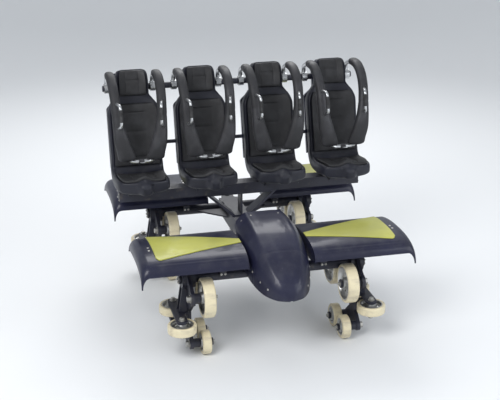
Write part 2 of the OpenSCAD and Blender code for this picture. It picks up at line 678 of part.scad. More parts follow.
// Padding of a restraint: a thick sleeve on each arm that widens towards the lap.
// Columns: x, z, half thickness, half width, shift of the middle towards the lap
SLEEVE = [
    [176, 118, 24, pad_w - 12, 0],
    [215, 122, 34, pad_w - 2, 0],
    [310, 104, 36, pad_w, 0],
    [392, 58, 37, pad_w, 0],
    [458, -18, 38, pad_w, 2],
    [494, -110, 40, pad_w, 6],
    [508, -230, 42, pad_w + 2, 14],
    [510, -350, 44, pad_w + 8, 30],
    [500, -460, 44, pad_w + 20, 52],
    [474, -560, 40, pad_w + 34, 74],
    [452, -618, 30, pad_w + 42, 84]];
module restraint_pad(y) color(black) at_pivot(y) difference() {
    for (s = [-1, 1]) skin([for (i = [0 : len(SLEEVE) - 1])
        let (
            p = SLEEVE[i],
            before = SLEEVE[max(i - 1, 0)],
            after = SLEEVE[min(i + 1, len(SLEEVE) - 1)],
            d = unit([after[0] - before[0], after[1] - before[1]]))
        [for (k = [0 : 11]) let (
            c = signed_power(cos(30 * k), 0.8),
            t = signed_power(sin(30 * k), 0.8))
            [p[0] - d[1] * t * p[2], s * (arm_y - p[4] + c * p[3]), p[1] + d[0] * t * p[2]]]]);
    arms(arm_d / 2 + seat_clear);
    handles(handle_d / 2 + seat_clear);
}

// Fender profile, from the trailing edge to the front lip: x from the axle, depth below the crown
FENDER = [
    [-tail_overhang, -58], [-356, -42], [-312, -29], [-248, -17], [-174, -8], [-92, -3], [0, 0],
    [74, -1], [138, -6], [194, -15], [240, -28], [275, -46], [298, -68], [311, -94], [316, -118]];
edge_r = 76;
edge_drop = 96;
rib_h = 30;
fender_seat = fender_top - skin_t * 0.55 - rib_h;
// Columns: position across the fender, and the angle that its rounded outer edge has turned through
function fender_columns(inner) = [[inner, 0], [(inner + fender_out) / 2, 0], [fender_out - edge_r, 0],
    for (a = [22.5 : 22.5 : 90]) [fender_out - edge_r + edge_r * sin(a), a]];
module fender(s, inner) {
    last = len(FENDER) - 1;
    function sheet(t) = [for (i = [0 : last]) let (
        p = FENDER[i],
        d = unit(FENDER[min(i + 1, last)] - FENDER[max(i - 1, 0)]))
        [for (c = fender_columns(inner)) [
            p[0] + d[1] * t * cos(c[1]),
            s * (c[0] - t * sin(c[1])),
            fender_top + p[1] - d[0] * t * cos(c[1]) - edge_drop * (1 - cos(c[1]))]]];
    panel(sheet(0), sheet(skin_t));
    // Rib that sits on the outrigger
    scale([1, s, 1]) translate([-arm_w / 2, arm_in - arm_w / 2, fender_seat])
        cube([arm_w, fender_out - edge_r - arm_in, rib_h]);
}
module fenders(x_axle, inner) color(navy) for (s = [-1, 1]) translate([x_axle, 0, 0]) fender(s, inner);

// Colour bands on top of a pair of fenders, longer towards their outer ends.
// Columns: share of the way out, x of the trailing and of the leading edge from the axle
BAND = [[0, -180, -84], [0.5, -254, -6], [0.86, -311, 59], [0.97, -337, 74], [1, -346, 36]];
band_t = 7;
band_lift = 0.8;
band_rows = 18;
function band_edge(u, k) = lookup(u, [for (b = BAND) [b[0], b[k]]]);
module bands(x_axle, inner) {
    full = band_out - fender_in;
    start = (inner - fender_in) / full;
    shares = concat([start], [for (b = BAND) if (b[0] > start + 0.01) b[0]]);
    function sheet(s, t) = [for (i = [0 : band_rows]) [for (u = shares) let (
        x = band_edge(u, 1) + (band_edge(u, 2) - band_edge(u, 1)) * i / band_rows)
        [x, s * (fender_in + full * u), fender_top + lookup(x, FENDER) + band_lift + t]]];
    color(lime) for (s = [-1, 1]) translate([x_axle, 0, 0]) panel(sheet(s, band_t), sheet(s, 0));
}

// Hood of the nose unit. Columns: share of the nose's overhang in front of the axle, half width,
// and how far the lower edge and the crown lie below the hood's top
hood_top = fender_top + hood_rise;
HOOD = [
    [-0.6, 248, 226, 6],
    [-0.26, 262, 268, 0],
    [0.07, 264, 326, 24],
    [0.36, 252, 376, 80],
    [0.6, 222, 408, 152],
    [0.77, 182, 426, 220],
    [0.885, 138, 432, 278],
    [0.95, 98, 426, 318],
    [0.985, 58, 412, 348],
    [1, 20, 394, 372]];
function hood_row(i) = [HOOD[i][0] * nose_overhang, HOOD[i][1], hood_top - HOOD[i][2],
    hood_top - HOOD[i][3]];
function hood_point(h, a, t) = let (
    c = signed_power(sin(a), 0.8),
    q = pow(max(cos(a), 0), 0.62),
    ridge = 14 * exp(-pow((abs(a) - 34) / 9, 2)) - 8 * exp(-pow(a / 16, 2)))
    [h[0], c * max(h[1] - t, 4), h[2] + (h[3] - h[2] - t + ridge * (h[1] / 250)) * q];
function hood_arch(h, t) = [for (a = [-90 : 10 : 90]) hood_point(h, a, t)];
module nose_hood() color(navy) translate([x_front, 0, 0]) {
    bulkhead(hood_row(1));
    bulkhead(hood_row(3));
    rows = [for (i = [0 : len(HOOD) - 1]) hood_row(i)];
    panel([for (h = rows) hood_arch(h, 0)], [for (h = rows) hood_arch(h, skin_t)]);
}
module bulkhead(h) difference() {
    skin([for (x = [0, rib_t]) [for (p = hood_arch(h, skin_t * 0.6)) p + [x, 0, 0]]]);
    translate([h[0] - 2, -hood_rail_y - hood_rail_w, 0])
        cube([rib_t + 4, 2 * (hood_rail_y + hood_rail_w), axle_z + hood_rail_h / 2]);
}

// Brake fin on its brackets, and the bracket of the anti-rollback dog, under the spine
bracket_in = 68;
fin_t = 16;
fin_from = 262;
fin_to = wheelbase - 480;
bracket_l = 68;
bracket_w = 60;
bracket_h = 44;
bracket_wall = 8;
dog_x = 150;
dog_drop = 44;
dog_t = 16;
dog_pin_d = 30;
dog_droop = 35;
module brake_fin() color(steel) translate([x_rear, 0, axle_z - spine_h / 2]) {
    fin_top = -28;
    fin_foot = -150;
    chamfer = 36;
    slot_t = (bracket_w - bracket_wall * 2 - fin_t) / 2;
    translate([0, fin_t / 2, 0]) rotate([90, 0, 0]) linear_extrude(fin_t) polygon([
        [fin_from, fin_top], [fin_from, fin_foot + chamfer], [fin_from + chamfer, fin_foot],
        [fin_to - chamfer, fin_foot], [fin_to, fin_foot + chamfer], [fin_to, fin_top]]);
    for (x = [fin_from + bracket_in, (fin_from + fin_to) / 2, fin_to - bracket_in]) difference() {
        translate([x - bracket_l / 2, -bracket_w / 2, -bracket_h]) cube([bracket_l, bracket_w, bracket_h]);
        for (s = [-1, 1]) translate([x - bracket_l, s * (fin_t + slot_t) / 2 - slot_t / 2, -bracket_h - 10])
            cube([2 * bracket_l, slot_t, bracket_h]);
    }
    for (s = [-1, 1]) translate([dog_x, s * (dog_t / 2 + side_gap + rib_t / 2) + rib_t / 2, 0])
        rotate([90, 0, 0]) linear_extrude(rib_t) polygon([
            [-34, 0], [-26, -dog_drop - 18], [0, -dog_drop - 26], [26, -dog_drop - 18], [34, 0]]);
    translate([dog_x, 0, -dog_drop]) rotate([90, 0, 0])
        cylinder(h = dog_t + 2 * side_gap + 40, d = dog_pin_d, center = true);
}
module rollback_dog() color(steel) translate([x_rear + dog_x, 0, axle_z - spine_h / 2 - dog_drop])
    rotate([0, -dog_droop, 0]) rotate([90, 0, 0]) linear_extrude(dog_t, center = true) difference() {
        union() {
            circle(r = 26);
            polygon([[0, 26], [-120, 20], [-172, -2], [-160, -30], [-110, -22], [0, -26]]);
        }
        circle(d = dog_pin_d + 2 * pin_clear);
    }

chassis_spine();
rear_axle();
rear_clevis();
seat_frame();
seat_backs();
brake_fin();
rollback_dog();
fender_arms(x_rear);  // rear_fender_arms
fenders(x_rear, fender_in);  // rear_fenders
bands(x_rear, rear_band_in);  // rear_bands
hitch_swivel();
hitch_yoke();
front_axle();
nose_hood();
fender_arms(x_front);  // front_fender_arms
fenders(x_front, fender_in);  // front_fenders
bands(x_front, fender_in);  // front_bands
for (i = [1 : 4]) {
    seat(seat_ys[i - 1]);
    restraint(seat_ys[i - 1]);
    restraint_pad(seat_ys[i - 1]);
}
for (a = ["front", "rear"], s = SIDES) {
    x = a == "front" ? x_front : x_rear;
    side = s == "left" ? 1 : -1;
    color(black) translate([x, 0, axle_z]) mirror([0, (1 - side) / 2, 0]) carrier_body();
    for (e = ["a", "b"]) {
        end = e == "a" ? 1 : -1;
        color(tread) translate([x + end * road_step / 2, side * rail_y, road_z])
                wheel(road_d, road_w, road_pin_d);
        color(tread) translate([x + end * guide_step / 2, side * guide_y, rail_z])
                rotate([90, 0, 0]) wheel(guide_d, guide_w, small_pin_d);
        color(tread) translate([x + end * upstop_step / 2, side * rail_y, upstop_d / 2])
                wheel(upstop_d, upstop_w, small_pin_d);
    }
}
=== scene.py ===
"""Looks of a floorless roller coaster's lead car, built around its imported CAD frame.

Lengths are metres in the shared frame: X forward, Y to the car's left, Z up.
"""

import logging
import math
from dataclasses import dataclass
from enum import Enum
from functools import lru_cache
from typing import Dict, List, Optional, Sequence, Tuple, Union

import bmesh
import bpy
import numpy as np
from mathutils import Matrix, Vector


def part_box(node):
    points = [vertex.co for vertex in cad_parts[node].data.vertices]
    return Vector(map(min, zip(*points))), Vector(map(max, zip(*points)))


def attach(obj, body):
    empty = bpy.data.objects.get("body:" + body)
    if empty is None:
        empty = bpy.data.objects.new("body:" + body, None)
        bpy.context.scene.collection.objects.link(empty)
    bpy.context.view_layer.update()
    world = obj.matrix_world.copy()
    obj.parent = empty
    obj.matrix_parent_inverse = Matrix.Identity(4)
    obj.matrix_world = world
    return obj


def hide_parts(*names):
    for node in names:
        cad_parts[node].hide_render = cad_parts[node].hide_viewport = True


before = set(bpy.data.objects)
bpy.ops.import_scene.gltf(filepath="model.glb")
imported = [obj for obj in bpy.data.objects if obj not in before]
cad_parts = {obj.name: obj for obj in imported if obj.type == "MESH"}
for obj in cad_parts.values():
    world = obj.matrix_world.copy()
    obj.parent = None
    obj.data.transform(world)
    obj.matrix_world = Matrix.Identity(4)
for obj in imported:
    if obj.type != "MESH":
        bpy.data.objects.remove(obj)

LOG = logging.getLogger("lead_car")
Array = np.ndarray
Colour = Tuple[float, float, float]
Vec = Sequence[float]
Rows = Tuple[Tuple[float, ...], ...]


# Shader maths


class Wire:
    """One output of a shader node, on which arithmetic adds Math nodes."""

    def __init__(self, graph: "Graph", socket: bpy.types.NodeSocket) -> None:
        """Keeps the graph that the socket belongs to."""
        self.graph = graph
        self.socket = socket

    def _math(self, operation: str, *values: Union["Wire", float]) -> "Wire":
        """Adds one Math node of an operation on its operands."""
        return self.graph.node("ShaderNodeMath", {"operation": operation}, dict(enumerate(values)))

    def __add__(self, other: Union["Wire", float]) -> "Wire":
        """Sum."""
        return self._math("ADD", self, other)

    def __radd__(self, other: float) -> "Wire":
        """Sum with a number on the left."""
        return self._math("ADD", other, self)

    def __sub__(self, other: Union["Wire", float]) -> "Wire":
        """Difference."""
        return self._math("SUBTRACT", self, other)

    def __rsub__(self, other: float) -> "Wire":
        """Difference with a number on the left."""
        return self._math("SUBTRACT", other, self)

    def __mul__(self, other: Union["Wire", float]) -> "Wire":
        """Product."""
        return self._math("MULTIPLY", self, other)

    def __rmul__(self, other: float) -> "Wire":
        """Product with a number on the left."""
        return self._math("MULTIPLY", other, self)

    def step(self, low: float, high: float) -> "Wire":
        """Smooth step from 0 at low to 1 at high."""
        inputs = {"Value": self, "From Min": low, "From Max": high}
        return self.graph.node("ShaderNodeMapRange", {"interpolation_type": "SMOOTHSTEP"}, inputs)


Value = Union[Wire, float, Vec]


class Graph:
    """The node tree of one material, around one Principled shader."""

    def __init__(self, name: str) -> None:
        """Makes the material and its shader.

        Args:
            name: the material's name.
        """
        self.material = bpy.data.materials.new(name)
        self.material.use_nodes = True
        self.tree = self.material.node_tree
        self.tree.nodes.clear()
        self.shader = self.tree.nodes.new("ShaderNodeBsdfPrincipled")
        output = self.tree.nodes.new("ShaderNodeOutputMaterial")
        self.tree.links.new(self.shader.outputs[0], output.inputs[0])
        self.place = self.node("ShaderNodeTexCoord", {}, {}, "Object")

    def node(
        self,
        kind: str,
        settings: Dict[str, object],
        inputs: Dict[Union[str, int], Value],
        output: Union[str, int] = 0,
    ) -> Wire:
        """Adds any node.

        Args:
            kind: Blender's type name.
            settings: properties of the node, set before its sockets.
            inputs: socket names or numbers, each with a value or a wire.
            output: the output to return.

        Returns:
            That output as a wire.
        """
        made = self.tree.nodes.new(kind)
        for key, value in settings.items():
            setattr(made, key, value)
        for key, value in inputs.items():
            self.feed(made.inputs[key], value)
        return Wire(self, made.outputs[output])

    def feed(self, socket: bpy.types.NodeSocket, value: Value) -> None:
        """Links a wire to a socket, or sets its value.

        Args:
            socket: the input socket.
            value: the wire, number or vector.
        """
        if isinstance(value, Wire):
            self.tree.links.new(value.socket, socket)
        else:
            socket.default_value = value

    def noise(self, scale: float, detail: float = 4.0, stretch: Vec = (1, 1, 1)) -> Wire:
        """Fractal noise on the object's coordinates.

        Args:
            scale: cells to the metre.
            detail: octaves.
            stretch: factors on X, Y and Z before the noise.

        Returns:
            Values around 0.5.
        """
        place = self.place
        if tuple(stretch) != (1, 1, 1):
            place = self.node("ShaderNodeMapping", {}, {"Vector": place, "Scale": tuple(stretch)})
        inputs = {"Vector": place, "Scale": scale, "Detail": detail}
        return self.node("ShaderNodeTexNoise", {}, inputs)

    def cells(self, scale: float) -> Wire:
        """Distance to the nearest point of a cell pattern, for grain."""
        inputs = {"Vector": self.place, "Scale": scale}
        return self.node("ShaderNodeTexVoronoi", {}, inputs, "Distance")

    def facing_up(self) -> Wire:
        """How far the surface faces up, from -1 to 1."""
        normal = self.node("ShaderNodeNewGeometry", {}, {}, "Normal")
        return self.node("ShaderNodeSeparateXYZ", {}, {0: normal}, 2)

    def mix(self, factor: Wire, first: Union[Wire, Colour], second: Union[Wire, Colour]) -> Wire:
        """Blends two colours by a factor."""
        a, b = (c if isinstance(c, Wire) else (*c, 1.0) for c in (first, second))
        return self.node("ShaderNodeMix", {"data_type": "RGBA"}, {0: factor, 6: a, 7: b}, 2)

    def bump(self, height: Wire, strength: float, depth: float) -> None:
        """Roughens the surface's normal by a height, of which 1 is depth metres."""
        inputs = {"Height": height, "Strength": strength, "Distance": depth}
        self.feed(self.shader.inputs["Normal"], self.node("ShaderNodeBump", {}, inputs))

    def set(self, **values: Value) -> None:
        """Sets the shader's sockets, named with _ for a space."""
        for key, value in values.items():
            self.feed(self.shader.inputs[key.replace("_", " ")], value)


# Finishes

DUST: Colour = (0.42, 0.41, 0.38)
DIRT: Colour = (0.10, 0.085, 0.07)
CHIPPED: Colour = (0.32, 0.31, 0.30)
OIL: Colour = (0.09, 0.075, 0.06)
RUBBED: Colour = (0.36, 0.31, 0.24)
SPECKS: Colour = (0.12, 0.10, 0.08)


@dataclass(frozen=True)
class Recipe:
    """How a material is made: its name, its main colour and, in wear(), its surface."""

    name: str
    colour: Colour

    def wear(self, g: Graph) -> None:
        """Feeds the shader's sockets."""
        raise NotImplementedError

    def tones(self, g: Graph, factor: Wire, first: float, second: float) -> Wire:
        """Blends the main colour between two factors of its brightness."""
        a, b = (tuple(min(1.0, c * f) for c in self.colour) for f in (first, second))
        return g.mix(factor, a, b)

    def build(self) -> bpy.types.Material:
        """Makes the material.

        Returns:
            The material.
        """
        g = Graph(self.name)
        self.wear(g)
        return g.material


@dataclass(frozen=True)
class GelCoat(Recipe):
    """Glossy moulded fibreglass with a clear coat, a little dust and fine scratches."""

    gloss: float = 0.34
    dust: float = 0.05
    coat: float = 0.22

    def wear(self, g: Graph) -> None:
        """Clouds the colour, and dulls it under dust on what faces up.

        Args:
            g: the material's graph.
        """
        base = self.tones(g, g.noise(2.4, 3).step(0.35, 0.7), 0.86, 1.12)
        film = g.facing_up().step(0.1, 1.0) * g.noise(9, 6).step(0.4, 0.75) * self.dust
        scratch = g.noise(14, 8, (1, 9, 9)).step(0.66, 0.7) * 0.06
        g.set(
            Base_Color=g.mix(film + scratch, base, DUST),
            Roughness=self.gloss + 0.10 * g.noise(30, 4) + 0.5 * film + scratch,
            Coat_Weight=self.coat - self.coat * film,
            Coat_Roughness=0.12,
            Specular_IOR_Level=0.30,
        )
        g.bump(g.noise(420, 2), 0.12, 0.0004)


@dataclass(frozen=True)
class FramePaint(Recipe):
    """Two-part paint on welded steel, scuffed and dusty."""

    rough: float = 0.42

    def wear(self, g: Graph) -> None:
        """Lays grime on the clouded colour, and bares steel in small chips.

        Args:
            g: the material's graph.
        """
        cloud = g.noise(5, 5).step(0.3, 0.7)
        base = self.tones(g, cloud, 0.8, 1.25)
        grime = g.noise(16, 8).step(0.55, 0.75) * 0.5
        chip = g.noise(70, 10).step(0.73, 0.76)
        dirty = g.mix(grime, base, DIRT)
        g.set(
            Base_Color=g.mix(chip, dirty, CHIPPED),
            Metallic=chip * 0.8,
            Roughness=self.rough + 0.3 * grime + 0.08 * cloud - 0.1 * chip,
        )
        g.bump(g.noise(260, 3) - 2.0 * chip, 0.18, 0.0005)


@dataclass(frozen=True)
class Urethane(Recipe):
    """Integral-skin foam with a fine leather grain, polished where riders sit."""

    grain: float = 330.0

    def wear(self, g: Graph) -> None:
        """Paints shade into the grain's hollows, a darker copy of the colour where the bump is low,
        and lightens and smooths the worn places.

        Args:
            g: the material's graph.
        """
        worn = g.noise(6, 4).step(0.42, 0.7)
        fold = g.cells(self.grain)
        base = self.tones(g, worn, 1.0, 1.7)
        # deep is painted shade: the colour of the grain's hollows, laid where the bump below is low
        deep = tuple(c * 0.55 for c in self.colour)
        g.set(
            Base_Color=g.mix(fold.step(0.0, 0.35), deep, base),
            Roughness=0.60 - 0.16 * worn + 0.10 * g.noise(90, 4),
            Specular_IOR_Level=0.42,
        )
        g.bump(fold.step(0.0, 0.5) + 0.35 * g.noise(700, 2), 0.38, 0.0006)


@dataclass(frozen=True)
class BareMetal(Recipe):
    """Turned, plated or brushed metal with patches of grime."""

    rough: float
    stretch: Tuple[float, float, float]
    grime: float

    def wear(self, g: Graph) -> None:
        """Streaks the metal along its brushing, and covers patches with grime.

        Args:
            g: the material's graph.
        """
        streak = g.noise(40, 6, self.stretch)
        film = g.noise(14, 7).step(0.5, 0.78) * self.grime
        g.set(
            Base_Color=g.mix(film, self.tones(g, streak, 0.82, 1.1), OIL),
            Metallic=1.0 - 0.8 * film,
            Roughness=self.rough + 0.14 * streak + 0.35 * film,
        )
        g.bump(streak, 0.10, 0.0003)


@dataclass(frozen=True)
class WheelPoly(Recipe):
    """Cast polyurethane of the wheel treads, rubbed grey by the rail."""

    def wear(self, g: Graph) -> None:
        """Greys the tread in bands, with dark specks.

        Args:
            g: the material's graph.
        """
        rub = g.noise(22, 7, (1, 0.3, 1)).step(0.45, 0.72)
        speck = g.noise(160, 5).step(0.62, 0.72)
        base = g.mix(rub * 0.5, self.colour, RUBBED)
        g.set(
            Base_Color=g.mix(speck * 0.5, base, SPECKS),
            Roughness=0.38 + 0.22 * rub,
            Coat_Weight=0.2 - 0.15 * rub,
            Coat_Roughness=0.25,
        )
        g.bump(g.noise(120, 5), 0.15, 0.0006)


@dataclass(frozen=True)
class Rubber(Recipe):
    """Black moulded rubber and nylon webbing."""

    rough: float

    def wear(self, g: Graph) -> None:
        """Lightens and smooths the worn places.

        Args:
            g: the material's graph.
        """
        worn = g.noise(24, 6).step(0.4, 0.75)
        g.set(Base_Color=self.tones(g, worn, 1.0, 2.6), Roughness=self.rough - 0.12 * worn)
        g.bump(g.noise(500, 3), 0.22, 0.0004)


class Finish(Enum):
    """The car's finishes, each with a slot name beside its recipe."""

    NAVY = (GelCoat("navy_gelcoat", (0.012, 0.013, 0.034)), "navy_shell")
    LIME = (GelCoat("lime_gelcoat", (0.43, 0.43, 0.085), 0.36, 0.05, 0.2), "lime_band")
    FRAME = (FramePaint("dark_frame_paint", (0.020, 0.021, 0.034)), "dark_frame")
    SHELL = (
        GelCoat("seat_shell_moulding", (0.016, 0.017, 0.026), 0.46, 0.05, 0.12), "navy_shell")
    FOAM = (Urethane("black_seat_foam", (0.017, 0.017, 0.019)), "black_padding")
    COLLAR = (Urethane("black_collar_foam", (0.021, 0.021, 0.024), 300.0), "black_padding")
    STEEL = (
        BareMetal("brushed_restraint_steel", (0.56, 0.57, 0.58), 0.27, (1, 1, 1), 0.2),
        "bright_steel")
    ZINC = (BareMetal("zinc_fasteners", (0.50, 0.49, 0.46), 0.36, (3, 3, 3), 0.3), "bright_steel")
    HUB = (
        BareMetal("turned_wheel_hub", (0.62, 0.62, 0.61), 0.30, (1, 1, 1), 0.45), "bright_steel")
    TREAD = (WheelPoly("cream_wheel_tread", (0.71, 0.63, 0.43)), "cream_wheel")
    RUBBER = (Rubber("black_rubber", (0.018, 0.018, 0.019), 0.72), "black_padding")
    WEB = (Rubber("black_webbing", (0.022, 0.022, 0.025), 0.82), "black_padding")


@lru_cache(maxsize=None)
def material_of(finish: Finish) -> bpy.types.Material:
    """The material of a finish, made once."""
    return finish.value[0].build()


# Surfaces


def spow(value: Array, power: float) -> Array:
    """Signed power: keeps the sign and raises the size."""
    return np.sign(value) * np.abs(value) ** power


def bell(value: Array, at: float, width: float) -> Array:
    """A bell curve of height 1: e to minus the square of the distance over the width."""
    return np.exp(-(((value - at) / width) ** 2))


def ramp(value: Array, start: float, width: float) -> Array:
    """A straight rise from 0 at the start to 1 a width further."""
    return np.clip((value - start) / width, 0, 1)


def smooth_rows(rows: Sequence[Vec], count: int) -> Array:
    """Samples a table smoothly along its rows.

    Each column is a cubic Hermite curve through the rows, whose slope at a row is limited
    as in a monotone spline: zero at a turn, and the harmonic mean of the two steps otherwise.

    Args:
        rows: the table.
        count: rows to return.

    Returns:
        count rows, evenly spaced by row number.
    """
    p = np.asarray(rows, float)
    step = np.diff(p, axis=0)
    before, after = step[:-1], step[1:]
    same = before * after > 0
    mid = np.where(same, 2 * before * after / np.where(same, before + after, 1), 0)
    slope = np.vstack([step[:1], mid, step[-1:]])
    t = np.linspace(0, len(p) - 1, count)
    i = np.minimum(t.astype(int), len(p) - 2)
    f = (t - i)[:, None]
    h = f * f * (3 - 2 * f)
    return (
        p[i] * (1 - h) + p[i + 1] * h
        + slope[i] * (f * (1 - f) ** 2) - slope[i + 1] * (f * f * (1 - f))
    )


def unit(v: Array) -> Array:
    """Vectors of length 1 along the last axis."""
    return v / np.maximum(np.linalg.norm(v, axis=-1, keepdims=True), 1e-12)


def grid_normals(points: Array) -> Array:
    """Unit normals of a grid of points: the cross product of its two gradients."""
    return unit(np.cross(np.gradient(points, axis=0), np.gradient(points, axis=1)))


def rim(grid: Array) -> Array:
    """The points round a grid's edge, in order."""
    return np.concatenate([grid[0, :-1], grid[:-1, -1], grid[-1, :0:-1], grid[:0:-1, 0]])


def circle(count: int, phase: float = 0.0) -> Array:
    """Angles evenly round a circle."""
    return np.arange(count) * 2 * math.pi / count + phase


def frame_along(axis: Vec) -> Tuple[Array, Array, Array]:
    """Two cross directions and the unit axis, right-handed.

    Args:
        axis: the third direction.

    Returns:
        The three unit vectors.
    """
    w = unit(np.asarray(axis, float))
    helper = (0.0, 0, 1) if abs(w[2]) < 0.9 else (1.0, 0, 0)
    u = unit(np.cross(helper, w))
    return u, np.cross(w, u), w


def round_axis(angles: Array, axis: Vec) -> Array:
    """Points of a unit circle square to an axis."""
    u, v, _ = frame_along(axis)
    return np.cos(angles)[:, None] * u + np.sin(angles)[:, None] * v


def side_ring(angles: Array, radius: float) -> Array:
    """Points of a circle in the plane of X and Z."""
    return radius * np.stack([np.cos(angles), 0 * angles, np.sin(angles)], -1)


def add_object(name: str, data: bpy.types.ID) -> bpy.types.Object:
    """Makes an object at the origin and links it to the scene.

    Args:
        name: its name.
        data: its mesh, lamp or camera.

    Returns:
        The object.
    """
    made = bpy.data.objects.new(name, data)
    bpy.context.scene.collection.objects.link(made)
    return made


class Surface:
    """Gathers grids of points and turns them into one mesh piece."""

    def __init__(self) -> None:
        """Starts empty."""
        self.points: List[Array] = []
        self.quads: List[Array] = []
        self.slots: List[Array] = []
        self.finishes: List[Finish] = []
        self.count = 0

    def grid(
        self,
        points: Array,
        finish: Finish,
        around: bool = True,
        caps: bool = True,
        stamps: Optional[Array] = None,
    ) -> "Surface":
        """Adds a grid of quads.

        Rows follow the first index. Where the rows are rings, caps close the first and last
        ring by a fan round its middle. Stamps repeat the grid at each offset.

        Args:
            points: rows, columns, xyz.
            finish: the finish of the grid.
            around: the columns close on themselves.
            caps: the first and last row are filled.
            stamps: offsets, one for each copy.

        Returns:
            The surface itself.
        """
        m, n = points.shape[:2]
        ids = np.arange(m * n).reshape(m, n)
        right = np.roll(ids, -1, axis=1) if around else ids[:, 1:]
        left = ids if around else ids[:, :-1]
        quads = [np.stack([left[:-1], right[:-1], right[1:], left[1:]], -1).reshape(-1, 4)]
        flat = [points.reshape(-1, 3)]
        if caps:
            flat.append(np.stack([points[0].mean(0), points[-1].mean(0)]))
            first, last = np.roll(ids[0], -1), np.roll(ids[-1], -1)
            quads.append(np.stack([np.full(n, m * n), first, ids[0], ids[0]], -1))
            quads.append(np.stack([np.full(n, m * n + 1), ids[-1], last, last], -1))
        verts = np.concatenate(flat)
        faces = np.concatenate(quads)
        if stamps is not None:
            shift = np.arange(len(stamps))[:, None, None] * len(verts)
            faces = (faces[None] + shift).reshape(-1, 4)
            verts = (verts[None] + np.asarray(stamps)[:, None, :]).reshape(-1, 3)
        if finish not in self.finishes:
            self.finishes.append(finish)
        self.points.append(verts)
        self.quads.append(faces + self.count)
        self.slots.append(np.full(len(faces), self.finishes.index(finish)))
        self.count += len(verts)
        return self

    def wall(self, outer: Array, inner: Array, finish: Finish) -> "Surface":
        """Adds a closed thin wall: two sheets and the rim between them.

        Args:
            outer: grid of the outer sheet.
            inner: grid of the inner sheet.
            finish: the finish.

        Returns:
            The surface itself.
        """
        for sheet in (outer, inner):
            self.grid(sheet, finish, around=False, caps=False)
        return self.grid(np.stack([rim(outer), rim(inner)]), finish, caps=False)

    def turned(
        self,
        profile: Sequence[Vec],
        centre: Vec,
        axis: Vec,
        finish: Finish,
        segments: int,
        stamps: Optional[Array] = None,
    ) -> "Surface":
        """Adds a turned solid: a closed profile carried round an axis.

        Args:
            profile: radius and height of its points.
            centre: the point on the axis at height 0.
            axis: the axis.
            finish: the finish.
            segments: points round the axis.
            stamps: offsets of copies.

        Returns:
            The surface itself.
        """
        p = np.asarray(profile, float)
        ring, w = round_axis(circle(segments), axis), unit(np.asarray(axis, float))
        points = p[:, :1] * ring[:, None] + p[:, 1:] * w + np.asarray(centre, float)
        closed = np.concatenate([points, points[:1]])
        return self.grid(closed, finish, caps=False, stamps=stamps)

    def tube(
        self,
        path: Array,
        radius: Union[float, Array],
        finish: Finish,
        segments: int,
        flat: float = 1.0,
        across: Vec = (0, 1, 0),
    ) -> "Surface":
        """Adds a tube: a circle, or an ellipse, carried square to a path.

        Args:
            path: points of the centre line.
            radius: one radius, or one for each point.
            finish: the finish.
            segments: points round the section.
            flat: height of the section over its width.
            across: a direction that the path never follows, along the section's width.

        Returns:
            The surface itself.
        """
        p = np.asarray(path, float)
        along = unit(np.gradient(p, axis=0))
        up = unit(np.cross(along, np.asarray(across, float)))
        side = np.cross(up, along)
        a = circle(segments)[None, :, None]
        r = np.broadcast_to(np.asarray(radius, float), (len(p),))[:, None, None]
        ring = np.cos(a) * side[:, None] + flat * np.sin(a) * up[:, None]
        return self.grid(p[:, None] + r * ring, finish)

    def slab(
        self,
        outline: Array,
        centre: Vec,
        axis: Vec,
        height: float,
        finish: Finish,
        edge: float = 0.002,
        stamps: Optional[Array] = None,
    ) -> "Surface":
        """Adds a plate of an outline, with chamfered edges: rings scaled in at both faces.

        Args:
            outline: points across the axis.
            centre: the middle of its lower face.
            axis: the direction of its height.
            height: its thickness.
            finish: the finish.
            edge: the chamfer.
            stamps: offsets of copies.

        Returns:
            The surface itself.
        """
        o = np.asarray(outline, float)
        u, v, w = frame_along(axis)
        small = 1 - edge / np.abs(o).max()
        k = np.array([small, 1, 1, small])[:, None, None]
        h = np.array([0, edge, height - edge, height])[:, None, None]
        points = k * (o[:, :1] * u + o[:, 1:] * v) + h * w + np.asarray(centre, float)
        return self.grid(points, finish, stamps=stamps)

    def plate(
        self,
        half: Tuple[float, float],
        centre: Vec,
        axis: Vec,
        height: float,
        finish: Finish,
        edge: float = 0.002,
    ) -> "Surface":
        """Adds a rectangular slab.

        Args:
            half: half its size in the plane of X and the axis, and half its other size.
            centre: the middle of its lower face.
            axis: the direction of its height.
            height: its thickness.
            finish: the finish.
            edge: the chamfer.

        Returns:
            The surface itself.
        """
        corners = np.array([[-1, -1], [1, -1], [1, 1], [-1, 1]]) * half
        order = 1 if abs(frame_along(axis)[0][0]) > 0.5 else -1
        return self.slab(corners[:, ::order], centre, axis, height, finish, edge)

    def bolts(self, places: Sequence[Vec], axis: Vec, size: float) -> "Surface":
        """Adds zinc-plated hexagon bolt heads on washers.

        Args:
            places: a point on the seat of each head.
            axis: the direction the heads stand out.
            size: width across the corners.

        Returns:
            The surface itself.
        """
        spots = np.asarray(places, float)
        lift = unit(np.asarray(axis, float)) * size * 0.1
        for sides, radius, foot, height, edge in (
            (16, 0.66, 0 * lift, 0.12, 0.02), (6, 0.5, lift, 0.5, 0.06),
        ):
            a = circle(sides)
            outline = np.stack([np.cos(a), np.sin(a)], -1) * size * radius
            self.slab(outline, foot, axis, size * height, Finish.ZINC, size * edge, spots)
        return self

    def screw(
        self,
        centre: Vec,
        axis: Vec,
        head: Tuple[float, float, float],
        stamps: Optional[Array] = None,
    ) -> "Surface":
        """Adds a low button-head screw.

        Args:
            centre: the middle of its seat.
            axis: the direction the head stands out.
            head: its radius, the radius of its flat top, and its height.
            stamps: offsets of copies.

        Returns:
            The surface itself.
        """
        radius, top, height = head
        core, round_off = 0.0006, 0.001
        profile = [[core, 0], [radius, 0], [radius - round_off, height - round_off],
                   [top, height], [core, height]]
        return self.turned(profile, centre, axis, Finish.ZINC, 18, stamps)

